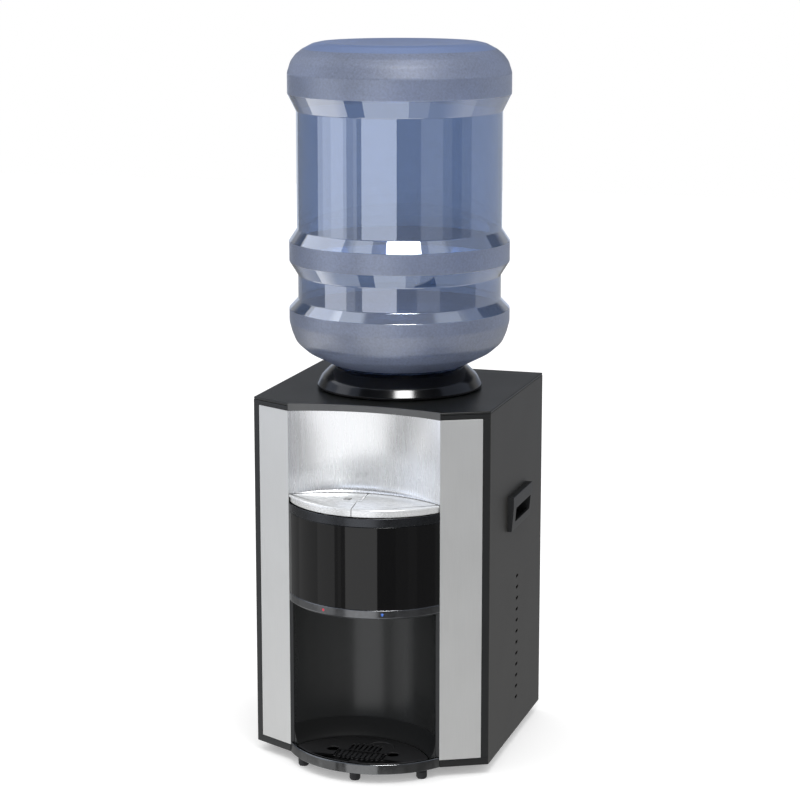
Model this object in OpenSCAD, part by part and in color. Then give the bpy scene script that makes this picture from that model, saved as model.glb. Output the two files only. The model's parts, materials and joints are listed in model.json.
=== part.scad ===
// Countertop hot and cold water dispenser with an upturned 5-gallon bottle.
// Frame: +X to the user's right, +Y to the back, +Z up. Origin on the counter,
// in the middle of the footprint. Millimetres.

/* [Casing] */
// Width over the side panels
body_w = 296; // [280:2:320]
// Depth from the plane of the front opening to the rear edges
body_d = 280; // [270:5:300]
// Height of the casing without its feet
body_h = 435; // [430:5:450]
// Height of the rubber feet
foot_h = 12; // [8:1:16]
// Radius of a rubber foot
foot_r = 6.5; // [5:0.5:9]
// Thickness of the sheet-metal panels
sheet_t = 1.2; // [0.8:0.2:2]
// Depth of the bevelled wings beside the opening
wing_d = 28; // [24:1:32]
// Width of the black bezel outside each silver wing
bezel_w = 8; // [6:1:10]
// Height of the black trim above and below the silver wings
trim_h = 9; // [7:1:11]

/* [Front opening] */
// Half the width of the front opening
open_hw = 95; // [90:1:100]
// How far the rounded front bulges out of the opening plane
nose_out = 50; // [45:1:52]
// Thickness of the rounded front pieces
front_t = 3; // [2:0.5:4]
// Height of the rim round the drip tray
rim_h = 12.3; // [11:0.1:14]
// Top of the alcove above the casing's underside
alcove_top = 193; // [185:1:200]
// Height of the accent band with the colour markers
band_h = 10; // [8:1:12]
// Top of the glossy panel above the casing's underside
panel_top = 303.5; // [300:0.5:306]
// Top of the lip ring round the paddles
lip_top = 314.5; // [312:0.5:316]
// Top face of the paddles above the casing's underside
paddle_top = 324; // [322:0.5:326]
// Depth of the alcove behind the opening plane
alcove_d = 54; // [48:1:58]
// Depth of the silver recess at its foot
recess_low = 38; // [34:1:42]
// Depth of the silver recess under the top trim
recess_high = 19; // [16:1:22]
// Depth of the recess at the very top
recess_top = 11.3; // [8:0.1:14]

/* [Paddles and valves] */
// Distance of each spout from the middle
spout_x = 38; // [34:1:42]
// Radius of a paddle hinge pin
pin_r = 2; // [1.5:0.25:3]
// Radial running clearance on the pins
run_fit = 0.05; // [0.02:0.01:0.08]
// Gap between pieces that move past each other
gap = 0.3; // [0.3:0.1:0.6]

/* [Side] */
// Number of vent slots in each side panel
vent_count = 12; // [8:1:14]
// Distance between vent slots
vent_pitch = 14.3; // [12:0.1:16]
// How far the grip hoods stand out of the sides
grip_out = 8; // [6:1:10]

/* [Bottle] */
// Radius of the bottle's frosted bands
bottle_r = 135; // [130:0.5:137]
// Wall thickness of the bottle
bottle_t = 1.8; // [1.2:0.2:2.4]

/* [Hidden] */
$fn = 48;

eps = 0.01;
half_w = body_w / 2;
zb = foot_h;
zt = foot_h + body_h;
y_open = (nose_out - body_d) / 2;
y_back = y_open + body_d;
wing_x = half_w - bezel_w;
bottle_set = 144.3;
bottle_y = y_open + bottle_set;

// The rounded front is an arc through both edges of the opening
nose_r = (open_hw * open_hw + nose_out * nose_out) / (2 * nose_out);
nose_cy = y_open + nose_r - nose_out;
alcove_hw = 90;
alcove_r = (alcove_hw * alcove_hw + alcove_d * alcove_d) / (2 * alcove_d);
alcove_cy = y_open + alcove_d - alcove_r;

z_rim = zb + rim_h;
z_alcove = zb + alcove_top;
z_band = z_alcove + band_h;
z_panel = zb + panel_top;
z_lip = zb + lip_top;
z_paddle = zb + paddle_top;
z_trim = zt - trim_h;
z_foot_lip = z_paddle + 1;
cover_t = 3;
pan_t = 3;
skirt_h = 26;
trim_slope = (recess_high - recess_top) / trim_h;

// Paddle geometry
lip_t = 2;
paddle_t = 2.5;
paddle_r = nose_r - lip_t - 0.65;
paddle_rear = 33;
hinge_y = y_open + 28;
hinge_z = z_paddle - 7;
knuckle_r = 4.2;
valve_y = y_open - 24;
spout_y = y_open - 7;
valve_r = 12;
bore_r = 8;
valve_z0 = zb + 210;
valve_z1 = zb + 276;
piston_z0 = zb + 240;
stem_r = 4;
bracket_z = zb + 286;

// Handle grip on the side, measured along Y and Z
grip_y0 = -6;
grip_y1 = 85;
grip_z0 = zb + 269;
grip_z1 = zb + 312;
grip_depth = 28;
grip_lean = 2.5;
grip_mouth = 17.5;

// Drip tray
tray_r = nose_r - 4 - 0.6;
cove_out = 8;
cove_up = 24;
tray_back_r = alcove_r - cove_out - 1;
tray_z0 = zb + pan_t + gap;
grille_z0 = z_rim - 2;

// Inside
cold_r = 78;
cold_z0 = zb + 216;
cold_z1 = zb + 348;
hot_x = -78;
hot_y = 40;
hot_r = 42;
hot_z0 = zb + 33;
hot_z1 = zb + 163;
comp_x = 58;
comp_y = 88;
comp_r = 55;
comp_foot_y = 34;
well_z0 = zb + 356;
rear_y = y_back - 6;
switch_z = zb + 150;
rocker_in = 5;
trunnion_r = 1.2;
drain_x = -95;
drain_z = zb + 26;
gland_x = 100;
gland_z = zb + 40;

function arc_points(r, cy, hw, side, n) =
    [for (i = [0:n]) let (a = asin(hw / r) * (2 * i / n - 1)) [r * sin(a), cy + side * r * cos(a)]];
function sagitta_r(hw, s) = (hw * hw + s * s) / (2 * s);

// Outline of the casing without the rounded front
module body_plan(inset = 0)
    offset(delta = -inset)
        polygon([
            [-open_hw, y_open], [-half_w, y_open + wing_d], [-half_w, y_back],
            [half_w, y_back], [half_w, y_open + wing_d], [open_hw, y_open]
        ]);

// Everything in front of the opening plane
module in_front(z0, z1)
    translate([-150, y_open - 100, z0])
        cube([300, 100, z1 - z0]);

// A curved wall that follows the rounded front
module front_arc(r_out, r_in, z0, z1)
    intersection() {
        translate([0, nose_cy, z0])
            difference() {
                cylinder(r = r_out, h = z1 - z0, $fn = 160);
                translate([0, 0, -1])
                    cylinder(r = r_in, h = z1 - z0 + 2, $fn = 160);
            }
        in_front(z0 - 1, z1 + 1);
    }

// Plan of the leaning recess at one height, grown by g on its curved side
module recess_slice(depth, g)
    let (r = sagitta_r(open_hw, depth), cy = y_open + depth - r, a = asin(open_hw / r))
        polygon(concat(
            [for (i = [-16:16]) [(r + g) * sin(a * i / 16), cy + (r + g) * cos(a * i / 16)]],
            [[open_hw, y_open - 1], [-open_hw, y_open - 1]]
        ));

module recess_body(z0, d0, z1, d1, g = 0)
    hull() {
        translate([0, 0, z0])
            linear_extrude(eps)
                recess_slice(d0, g);
        translate([0, 0, z1 - eps])
            linear_extrude(eps)
                recess_slice(d1, g);
    }

function unit(v) = v / norm(v);

// Rings of a tube: each ring is the last one slid along the run onto the mitre plane
function tube_rings(points, rings, i) =
    i == len(points) ? rings :
    let (
        run = unit(points[i] - points[i - 1]),
        next = i == len(points) - 1 ? run : unit(points[i + 1] - points[i]),
        mitre = unit(run + next),
        ring = [for (p = rings[i - 1]) p + run * (((points[i] - p) * mitre) / (run * mitre))]
    )
    tube_rings(points, concat(rings, [ring]), i + 1);

// A bent tube through a list of points, mitred at each of them
module bent_tube(points, r, sides = 8) {
    run = unit(points[1] - points[0]);
    across = unit(cross(run, abs(run[2]) < 0.9 ? [0, 0, 1] : [1, 0, 0]));
    first = [for (k = [0:sides - 1])
        let (a = 360 * k / sides) points[0] + r * (cos(a) * across + sin(a) * cross(run, across))];
    rings = tube_rings(points, [first], 1);
    last = len(points) - 1;
    polyhedron(
        points = [for (ring = rings, p = ring) p],
        faces = concat(
            [[for (k = [0:sides - 1]) k]],
            [for (i = [0:last - 1], k = [0:sides - 1])
                let (a = i * sides + k, b = i * sides + (k + 1) % sides) [a, b + sides, b]],
            [for (i = [0:last - 1], k = [0:sides - 1])
                let (a = i * sides + k, b = i * sides + (k + 1) % sides) [a, a + sides, b + sides]],
            [[for (k = [sides - 1:-1:0]) last * sides + k]]
        )
    );
}

module mirrored()
    for (s = [0, 1])
        mirror([s, 0, 0])
            children();

// ---- Casing ----

module base_pan() color("#101112") {
    rim_t = 2;
    difference() {
        union() {
            translate([0, 0, zb])
                linear_extrude(pan_t)
                    body_plan(sheet_t + gap);
            translate([0, 0, zb])
                intersection() {
                    translate([0, nose_cy, 0])
                        cylinder(r = nose_r, h = pan_t, $fn = 160);
                    translate([-open_hw + 3, y_open - 100, 0])
                        cube([2 * open_hw - 6, 105, pan_t]);
                }
            front_arc(nose_r, nose_r - 4, zb, z_rim);
            translate([0, 0, zb])
                linear_extrude(rim_h)
                    difference() {
                        body_plan(sheet_t + gap);
                        body_plan(sheet_t + gap + rim_t);
                        translate([-alcove_hw - 40, y_open - 1])
                            square([2 * alcove_hw + 80, 60]);
                    }
        }
        // the corner posts of the front frame stand here
        mirrored()
            translate([0, 0, zb - 1])
                linear_extrude(rim_h + 2)
                    wing_plan(open_hw + 0.3, half_w + 5, 7, -1);
        // intake slots under the condenser
        for (i = [-4:4])
            translate([i * 24 - 4, y_back - 60, zb - 1])
                cube([8, 40, pan_t + 2]);
    }
}

foot_places = [[-75, y_open - 8], [0, y_open - 36], [75, y_open - 8], [-122, y_back - 22], [122, y_back - 22]];

module feet() color("#1b1b1c")
    for (p = foot_places)
        translate([p[0], p[1], 0])
            difference() {
                union() {
                    cylinder(r1 = foot_r - 1, r2 = foot_r, h = 2);
                    translate([0, 0, 2])
                        cylinder(r = foot_r, h = foot_h - 2);
                }
                translate([0, 0, -1])
                    cylinder(r = 2.5, h = 4);
            }

module side_panel() {
    vent_w = 11;
    vent_h = 3.5;
    vent_y = y_open + 155;
    vent_z = zb + 43;
    flange_w = 14;
    difference() {
        union() {
            translate([half_w - sheet_t, y_open + wing_d, zb])
                cube([sheet_t, body_d - wing_d, body_h - cover_t]);
            // rear return that the back panel is screwed to
            translate([half_w - flange_w, rear_y - 2 * sheet_t, zb + rim_h + 1])
                cube([flange_w, sheet_t, body_h - cover_t - rim_h - 30]);
        }
        for (i = [0:vent_count - 1])
            translate([half_w - 3, vent_y, vent_z + i * vent_pitch]) {
                translate([0, vent_h / 2, -vent_h / 2])
                    cube([6, vent_w - vent_h, vent_h]);
                for (y = [vent_h / 2, vent_w - vent_h / 2])
                    translate([0, y, 0])
                        rotate([0, 90, 0])
                            cylinder(r = vent_h / 2, h = 6, $fn = 24);
            }
        translate([half_w - 20, grip_y0 + 4, grip_z0 + 4])
            cube([40, grip_y1 - grip_y0 - 8, grip_z1 - grip_z0 - 6]);
        for (p = screw_places)
            translate([p[0], rear_y + 5, p[1]])
                rotate([90, 0, 0])
                    cylinder(r = 1.6, h = 10);
    }
}

module right_side_panel() color("#4a4946") side_panel();

module left_side_panel() color("#4a4946") mirror([1, 0, 0]) side_panel();

module top_cover() color("#3a3c3a") {
    collar_hole_r = 78;
    difference() {
        union() {
            translate([0, 0, zt - cover_t])
                linear_extrude(cover_t)
                    body_plan(0);
            // skirt across the back, set in from the side panels
            translate([-half_w + sheet_t + 0.2, y_back - 4, zt - skirt_h])
                cube([body_w - 2 * sheet_t - 0.4, 2, skirt_h - cover_t]);
        }
        translate([0, bottle_y, zt - 10])
            cylinder(r = collar_hole_r, h = 20, $fn = 120);
        // the leaning trim of the front frame fills this edge
        recess_body(z_trim - 1, recess_high + trim_slope, zt + 1, recess_top - trim_slope, 4.1);
    }
}

module back_panel() color("#4a4946") {
    louvre_w = 52;
    louvre_h = 5;
    louvre_pitch = 15;
    louvre_z = zb + 190;
    difference() {
        translate([-half_w + sheet_t + 0.2, rear_y - sheet_t, z_rim + 0.2])
            cube([body_w - 2 * sheet_t - 0.4, sheet_t, body_h - rim_h - skirt_h - 1]);
        for (row = [0:13], col = [-1, 0, 1])
            translate([col * (louvre_w + 12) - louvre_w / 2, rear_y - 5, louvre_z + row * louvre_pitch])
                cube([louvre_w, 10, louvre_h]);
        for (s = [-1, 1])
            translate([s * 22 - 7.2, rear_y - 5, switch_z - 11.2])
                cube([14.4, 10, 22.4]);
        translate([drain_x, rear_y + 5, drain_z])
            rotate([90, 0, 0])
                cylinder(r = 6.4, h = 10);
        translate([gland_x, rear_y + 5, gland_z])
            rotate([90, 0, 0])
                cylinder(r = 8, h = 10);
        for (p = screw_places)
            translate([p[0], rear_y + 5, p[1]])
                rotate([90, 0, 0])
                    cylinder(r = 1.6, h = 10);
    }
}

screw_places = [for (x = [-141, 141], z = [zb + 30, zb + 150, zb + 270, zb + 390]) [x, z]];

module housing_screws() color("#7d7d7a")
    for (p = screw_places)
        translate([p[0], rear_y, p[1]])
            rotate([-90, 0, 0])
                difference() {
                    union() {
                        cylinder(r = 3.2, h = 1.8);
                        translate([0, 0, -6])
                            cylinder(r = 1.5, h = 6);
                    }
                    for (a = [0, 90])
                        rotate([0, 0, a])
                            translate([-2, -0.4, 0.9])
                                cube([4, 0.8, 2]);
                }

// Plan of one wing: the bevelled corner post of the casing, t thick
module wing_plan(x0, x1, t, set_back = 0) {
    slope = wing_d / (half_w - open_hw);
    n = [-slope, 1] / norm([slope, 1]);
    a = [x0, y_open + slope * (x0 - open_hw)];
    b = [x1, y_open + slope * (x1 - open_hw)];
    polygon([a + n * set_back, b + n * set_back, b + n * (set_back + t), a + n * (set_back + t)]);
}

module front_frame() color("#242626") {
    post_w = 5;
    difference() {
        union() {
            mirrored() {
                translate([0, 0, zb])
                    linear_extrude(body_h - cover_t)
                        intersection() {
                            wing_plan(open_hw + 0.5, half_w + 5, 5);
                            union() {
                                square([body_w - 2 * sheet_t, 400], center = true);
                                translate([-half_w, y_open])
                                    square([body_w, wing_d]);
                            }
                        }
                // post beside the alcove
                translate([open_hw - post_w - 0.5, y_open, z_rim])
                    cube([post_w + 0.5, 8, z_alcove - z_rim]);
            }
            // leaning trim above the recess
            difference() {
                recess_body(z_trim, recess_high, zt, recess_top, 4);
                recess_body(z_trim - 1, recess_high + trim_slope, zt + 1, recess_top - trim_slope);
                in_front(z_trim - 5, zt + 5);
            }
        }
        // pockets for the silver wing panels
        mirrored()
            translate([0, 0, zb + trim_h])
                linear_extrude(body_h - 2 * trim_h)
                    wing_plan(open_hw - 5, wing_x, 2, -1);
        // room for the recess panel behind the wings' inner edges
        recess_body(z_foot_lip - 4, recess_low, z_trim, recess_high, 2.2);
        translate([0, nose_cy, z_alcove])
            cylinder(r = nose_r, h = z_foot_lip - 4 - z_alcove, $fn = 160);
    }
}

module wing_panel()
    translate([0, 0, zb + trim_h])
        linear_extrude(body_h - 2 * trim_h)
            wing_plan(open_hw, wing_x, 1);

module right_wing_panel() color("#b4b6b6") wing_panel();

module left_wing_panel() color("#d4d5d4") mirror([1, 0, 0]) wing_panel();

module recess_panel() color("#dfe1e2") {
    cove = 6;
    intersection() {
        difference() {
            recess_body(z_foot_lip, recess_low, z_trim, recess_high, 2);
            recess_body(z_foot_lip + cove, recess_low - 1.1, z_trim + 1, recess_high - 0.2);
            // the foot curves forward over the rear edge of the paddles
            for (i = [0:3])
                translate([0, 0, z_foot_lip + 1 + (cove - 1) * (1 - cos(i * 22.5))])
                    linear_extrude(cove + 0.1 - (cove - 1) * (1 - cos(i * 22.5)) - 1 + 0.1)
                        recess_slice(recess_low - 1 - cove * (1 - sin(i * 22.5 + 11)), 0);
            in_front(z_foot_lip - 5, z_trim + 5);
            translate([0, 0, z_foot_lip - 1])
                linear_extrude(3)
                    recess_slice(recess_low - 1 - cove, 0);
        }
        translate([-open_hw + 0.6, y_open, z_foot_lip])
            cube([2 * open_hw - 1.2, 60, z_trim - z_foot_lip]);
    }
}

module lip_ring() color("#3c3e3e")
    front_arc(nose_r, nose_r - lip_t, z_panel, z_lip);

module front_panel() color("#0e0f10")
    front_arc(nose_r, nose_r - front_t, z_band, z_panel);

module accent_band() color("#4c4e4f")
    front_arc(nose_r, nose_r - front_t, z_alcove, z_band);

module marker(x)
    let (a = asin(x / nose_r))
        translate([nose_r * sin(a), nose_cy - nose_r * cos(a), z_alcove + 5])
            rotate([90, 0, a])
                cylinder(r = 2.2, h = 0.4, $fn = 32);

module hot_marker() color("#d8302c") marker(-36);

module cold_marker() color("#2f7fd0") marker(37);

module alcove_liner() color("#151616") {
    wall = 2;
    n = 8;
    intersection() {
        translate([0, alcove_cy, 0])
            rotate_extrude($fn = 160)
                polygon(concat(
                    [[alcove_r + wall, zb + pan_t], [alcove_r + wall, z_alcove], [alcove_r, z_alcove]],
                    [for (i = [0:n]) [alcove_r - cove_out * (1 - cos(i * 90 / n)),
                        z_rim + cove_up * (1 - sin(i * 90 / n))]],
                    [[alcove_r - cove_out, zb + pan_t]]
                ));
        translate([-open_hw + 0.5, y_open, 0])
            cube([2 * open_hw - 1, 90, zt]);
        // cut back where the posts of the front frame stand
        translate([0, 0, zb + pan_t])
            union() {
                translate([-alcove_hw + 0.5, y_open, 0])
                    cube([2 * alcove_hw - 1, 90, body_h]);
                translate([-open_hw, y_open + 8, 0])
                    cube([2 * open_hw, 90, body_h]);
            }
    }
    // ceiling with the two spout holes
    translate([0, 0, z_alcove - wall])
        difference() {
            intersection() {
                union() {
                    translate([0, alcove_cy, 0])
                        cylinder(r = alcove_r + eps, h = wall, $fn = 160);
                    in_front(0, wall);
                }
                translate([0, nose_cy, 0])
                    cylinder(r = nose_r, h = wall, $fn = 160);
                translate([-alcove_hw + 0.5, y_open - 60, 0])
                    cube([2 * alcove_hw - 1, 140, wall]);
            }
            for (s = [-1, 1])
                translate([s * spout_x, spout_y, -1])
                    cylinder(r = 7.3, h = 4);
        }
}

module handle_grip() {
    l = grip_y1 - grip_y0;
    h = grip_z1 - grip_z0;
    difference() {
        union() {
            // frame round the mouth, leaning in towards its foot
            translate([half_w, grip_y1, grip_z0])
                rotate([90, 0, 0])
                    linear_extrude(l)
                        polygon([
                            [0, 0], [grip_out - grip_lean, 0], [grip_out, h - 14],
                            [grip_out, h - 1.2], [grip_out - 1.2, h], [0, h]
                        ]);
            translate([half_w - grip_depth, grip_y0 + 5, grip_z0 + 5])
                cube([grip_depth, l - 10, h - 8]);
        }
        // finger pocket inside the casing
        translate([half_w - grip_depth + 2, grip_y0 + 7, grip_z0 + 7])
            cube([grip_depth + 1, l - 14, h - 12]);
        // mouth through the frame
        translate([half_w, grip_y0 + 13, grip_z0 + 10])
            cube([grip_out + 1, l - 20, grip_mouth]);
    }
}

module right_handle_grip() color("#2a2b2b") handle_grip();

module left_handle_grip() color("#2a2b2b") mirror([1, 0, 0]) handle_grip();

// ---- Bottle seat ----

module bottle_collar() color("#08090a")
    translate([0, bottle_y, zt])
        rotate_extrude($fn = 120)
            polygon([
                [94, 0], [96.5, 1.2], [100.6, 2.2], [101.3, 3.2], [100.8, 5], [98.4, 11],
                [95, 17.5], [91, 23], [86.5, 27], [83, 28.2], [80, 28], [78.2, 26.4],
                [77.5, 24], [77.5, 0]
            ]);

module funnel() color("#e8e8e4")
    translate([0, bottle_y, 0])
        rotate_extrude($fn = 96)
            polygon([
                [77.2, zt + 14], [77.2, zt + 16], [75, zt + 16], [36, zt - 3], [33, zt - 8],
                [33, well_z0 + 3], [12, well_z0 + 3], [12, well_z0 + 36], [10, well_z0 + 40],
                [7, well_z0 + 40], [7, well_z0 - 8], [10, well_z0 - 8], [10, well_z0],
                [35, well_z0], [35, zt - 8.5], [37.5, zt - 4.7], [75, zt + 13.4]
            ]);

// ---- Refrigeration and heating ----

module cold_tank() color("#b8babc")
    translate([0, bottle_y, 0])
        difference() {
            translate([0, 0, cold_z0])
                cylinder(r = cold_r, h = cold_z1 - cold_z0, $fn = 96);
            translate([0, 0, cold_z0 + 1.5])
                cylinder(r = cold_r - 1.5, h = cold_z1 - cold_z0 - 3, $fn = 96);
            translate([0, 0, cold_z1 - 3])
                cylinder(r = 10, h = 6);
        }

feed_x = -50;
cold_out_y = -40;

module cold_tank_insulation() color("#e9e7df")
    translate([0, bottle_y, 0])
        difference() {
            translate([0, 0, cold_z0 - 8])
                cylinder(r = cold_r + 20, h = cold_z1 - cold_z0 + 14, $fn = 96);
            translate([0, 0, cold_z0])
                cylinder(r = cold_r + 6.2, h = cold_z1 - cold_z0 + 10, $fn = 96);
            translate([feed_x, 0, cold_z0 - 10])
                cylinder(r = 4.5, h = 20);
            translate([0, cold_out_y, cold_z0 - 10])
                cylinder(r = 4.5, h = 20);
        }

module evaporator_coil() color("#b87333")
    translate([0, bottle_y, 0])
        union() {
            for (i = [0:6])
                translate([0, 0, cold_z0 + 14 + i * 15])
                    rotate_extrude($fn = 96)
                        translate([cold_r + 3.1, 0])
                            circle(r = 3);
            translate([0, cold_r + 3.1, cold_z0 + 14])
                cylinder(r = 2.4, h = 90);
        }

module hot_tank() color("#b4b6b8")
    translate([hot_x, hot_y, 0])
        difference() {
            union() {
                translate([0, 0, hot_z0])
                    cylinder(r = hot_r, h = hot_z1 - hot_z0, $fn = 72);
                translate([0, 0, zb + pan_t])
                    cylinder(r = 20, h = hot_z0 - zb - pan_t);
            }
            translate([0, 0, hot_z0 + 1.5])
                cylinder(r = hot_r - 1.5, h = hot_z1 - hot_z0 - 3, $fn = 72);
        }

module hot_tank_jacket() color("#cfcabb")
    translate([hot_x, hot_y, hot_z0])
        difference() {
            cylinder(r = hot_r + 11, h = hot_z1 - hot_z0, $fn = 72);
            translate([0, 0, -1])
                cylinder(r = hot_r + 3, h = hot_z1 - hot_z0 + 2, $fn = 72);
        }

module band_heater() color("#8c8a84")
    translate([hot_x, hot_y, hot_z0 + 16])
        difference() {
            cylinder(r = hot_r + 2.6, h = 40, $fn = 72);
            translate([0, 0, -1])
                cylinder(r = hot_r, h = 42, $fn = 72);
        }

module thermostats() color("#d8d4c8")
    for (x = [-14, 14])
        translate([hot_x + x, hot_y, hot_z1]) {
            cylinder(r = 8, h = 3);
            translate([0, 0, 3])
                cylinder(r = 6, h = 6);
            for (s = [-1, 1])
                translate([s * 3 - 0.4, -2, 9])
                    cube([0.8, 4, 7]);
        }

module compressor() color("#1c1d1f")
    translate([comp_x, comp_y, 0]) {
        translate([0, 0, zb + 20])
            rotate_extrude($fn = 72)
                polygon([
                    [0, 0], [40, 0], [50, 6], [54, 16], [comp_r, 50], [comp_r, 52], [57, 52],
                    [57, 56], [comp_r, 56], [54, 80], [48, 96], [36, 108], [18, 114], [0, 115]
                ]);
        for (s = [-1, 1])
            translate([-66, s * comp_foot_y - 9, zb + 18])
                cube([132, 18, 3]);
        translate([-20, -62, zb + 60])
            cube([40, 14, 34]);
    }

module compressor_grommets() color("#202020")
    for (x = [-56, 56], y = [-comp_foot_y, comp_foot_y])
        translate([comp_x + x, comp_y + y, zb + pan_t])
            difference() {
                cylinder(r = 8, h = 15);
                translate([0, 0, -1])
                    cylinder(r = 3, h = 17);
            }

cond_y = rear_y - 14;
cond_runs = 9;
cond_z = zb + 190;

module condenser() color("#141516") {
    pitch = 24;
    half_l = 105;
    wire_w = 1.6;
    wire_pitch = 21;
    union() {
        for (i = [0:cond_runs - 1])
            translate([-half_l, cond_y, cond_z + i * pitch])
                rotate([0, 90, 0])
                    cylinder(r = 2.5, h = 2 * half_l, $fn = 24);
        for (i = [0:cond_runs - 2])
            let (s = i % 2 == 0 ? 1 : -1)
                translate([s * half_l, cond_y, cond_z + (i + 0.5) * pitch])
                    rotate([90, 0, 0])
                        rotate([0, 0, s > 0 ? -90 : 90])
                            rotate_extrude(angle = 180, $fn = 48)
                                translate([pitch / 2, 0])
                                    circle(r = 2.5);
        for (i = [-4:4])
            translate([i * wire_pitch - wire_w / 2, cond_y + wire_w, cond_z - 4])
                cube([wire_w, wire_w, (cond_runs - 1) * pitch + 8]);
    }
}

module filter_drier() color("#b87333")
    translate([126, comp_y - 40, zb + 120])
        rotate_extrude($fn = 48)
            polygon([[0, 0], [3, 0], [8, 8], [8, 58], [3, 66], [0, 66]]);

module refrigerant_pipes() color("#b87333") {
    // discharge line from the compressor to the condenser
    bent_tube([
        [comp_x + 30, comp_y + 20, zb + 131], [comp_x + 30, comp_y + 20, zb + 150],
        [comp_x + 30, cond_y, zb + 170], [comp_x + 30, cond_y, cond_z - 3]
    ], 2.4);
    // liquid line to the filter drier
    bent_tube([
        [126, comp_y - 40, zb + 187], [126, comp_y - 40, zb + 205], [120, cond_y - 30, zb + 225],
        [113, cond_y - 20, zb + 240]
    ], 2);
    // suction line back from the evaporator
    bent_tube([
        [comp_x - 20, comp_y + 30, zb + 131], [comp_x - 20, comp_y + 30, zb + 190],
        [12, bottle_y + cold_r + 24, zb + 203], [12, bottle_y + cold_r + 24, zb + 320]
    ], 2.4);
}

// ---- Water lines ----

module hot_feed_tube() color("#dcdad2")
    bent_tube([
        [feed_x, bottle_y, cold_z0 - 0.5], [feed_x, bottle_y, cold_z0 - 24],
        [hot_x + 4, hot_y - 22, hot_z1 + 18], [hot_x + 4, hot_y - 22, hot_z1 + 0.3]
    ], 3.5);

module hot_outlet_tube() color("#dcdad2")
    bent_tube([
        [hot_x - 20, hot_y - 14, hot_z1 + 0.3], [hot_x - 20, hot_y - 14, hot_z1 + 16],
        [-112, -30, valve_z0 + 24], [-70, -86, valve_z0 + 24],
        [-spout_x, valve_y + valve_r + 10, valve_z0 + 24], [-spout_x, valve_y + valve_r + 0.2, valve_z0 + 24]
    ], 3);

module cold_outlet_tube() color("#dcdad2")
    bent_tube([
        [0, bottle_y + cold_out_y, cold_z0 - 0.5], [0, bottle_y + cold_out_y, zb + 200],
        [spout_x, -85, zb + 200], [spout_x, valve_y + valve_r + 12, valve_z0 + 24],
        [spout_x, valve_y + valve_r + 0.2, valve_z0 + 24]
    ], 3);

module drain_tube() color("#dcdad2") {
    bent_tube([
        [hot_x - 25, hot_y, hot_z0 - 0.3], [hot_x - 25, hot_y, drain_z],
        [drain_x, hot_y + 30, drain_z], [drain_x, rear_y - 14, drain_z]
    ], 4);
    translate([drain_x, rear_y - 16, drain_z])
        rotate([-90, 0, 0])
            difference() {
                cylinder(r = 6, h = 20);
                translate([0, 0, 10])
                    cylinder(r = 3, h = 20);
            }
}

module drain_cap() color("#e6e4dc")
    translate([drain_x, rear_y + 1, drain_z])
        rotate([-90, 0, 0])
            difference() {
                cylinder(r = 10, h = 5);
                translate([0, 0, -1])
                    cylinder(r = 6.4, h = 4.5);
                for (i = [0:11])
                    rotate([0, 0, i * 30])
                        translate([10.4, 0, -1])
                            cylinder(r = 1, h = 8, $fn = 16);
            }

module terminal_block() color("#e0ddd0")
    translate([-24, 60, zb + pan_t]) {
        cube([14, 48, 8]);
        for (i = [0:4])
            translate([2, 3 + i * 9, 8])
                cube([10, 6, 5]);
    }

// ---- Paddles and valves ----

module paddle_bracket() color("#3a3c3d") {
    ear_x = 21;
    ear_w = 6;
    difference() {
        union() {
            intersection() {
                translate([0, nose_cy, bracket_z])
                    cylinder(r = nose_r - front_t - 1.5, h = 3, $fn = 120);
                translate([-80, y_open - 45, bracket_z])
                    cube([160, 80, 3]);
            }
            mirrored() {
                translate([ear_x, hinge_y - 4, bracket_z + 2])
                    cube([ear_w, 8, hinge_z - bracket_z - 2]);
                translate([ear_x, hinge_y, hinge_z])
                    rotate([0, 90, 0])
                        cylinder(r = 4, h = ear_w);
            }
        }
        mirrored() {
            translate([ear_x - 1, hinge_y, hinge_z])
                rotate([0, 90, 0])
                    cylinder(r = pin_r, h = ear_w + 2);
            translate([spout_x, valve_y, bracket_z - 1])
                cylinder(r = stem_r + 1, h = 6);
        }
    }
}

module hinge_pins() color("#a8aaac")
    mirrored()
        translate([9, hinge_y, hinge_z])
            rotate([0, 90, 0])
                cylinder(r = pin_r, h = 30);

module valve_body()
    difference() {
        union() {
            translate([spout_x, valve_y, valve_z0])
                cylinder(r = valve_r, h = valve_z1 - valve_z0);
            translate([spout_x - 9, valve_y, valve_z0 - 6])
                cube([18, spout_y - valve_y + 8, 14]);
            translate([spout_x, valve_y, valve_z0 - 6])
                cylinder(r = 9, h = 8);
        }
        translate([spout_x, valve_y, valve_z0 + 4])
            cylinder(r = bore_r, h = valve_z1);
        translate([spout_x, valve_y, valve_z0])
            cylinder(r = 3.5, h = 10);
        translate([spout_x - 3, valve_y, valve_z0 - 1])
            cube([6, spout_y - valve_y, 4]);
        translate([spout_x, spout_y, valve_z0 - 10])
            cylinder(r = 4, h = 12);
    }

module cold_valve_body() color("#e4e2da") valve_body();

module hot_valve_body() color("#e4e2da") mirror([1, 0, 0]) valve_body();

module spouts() color("#2b2c2d")
    mirrored()
        translate([spout_x, spout_y, z_alcove - 8])
            difference() {
                union() {
                    cylinder(r1 = 6, r2 = 7, h = 4);
                    translate([0, 0, 4])
                        cylinder(r = 7, h = valve_z0 - 6 - z_alcove + 4);
                }
                translate([0, 0, -1])
                    cylinder(r = 4, h = 30);
            }

module plunger()
    translate([spout_x, valve_y, 0]) {
        translate([0, 0, piston_z0])
            cylinder(r = bore_r - run_fit, h = 20);
        translate([0, 0, piston_z0 + 19])
            cylinder(r = stem_r, h = z_paddle - paddle_t - 0.4 - stem_r - piston_z0 - 19);
        translate([0, 0, z_paddle - paddle_t - 0.4 - stem_r])
            sphere(r = stem_r);
    }

module cold_plunger() color("#f0efe9") plunger();

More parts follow.
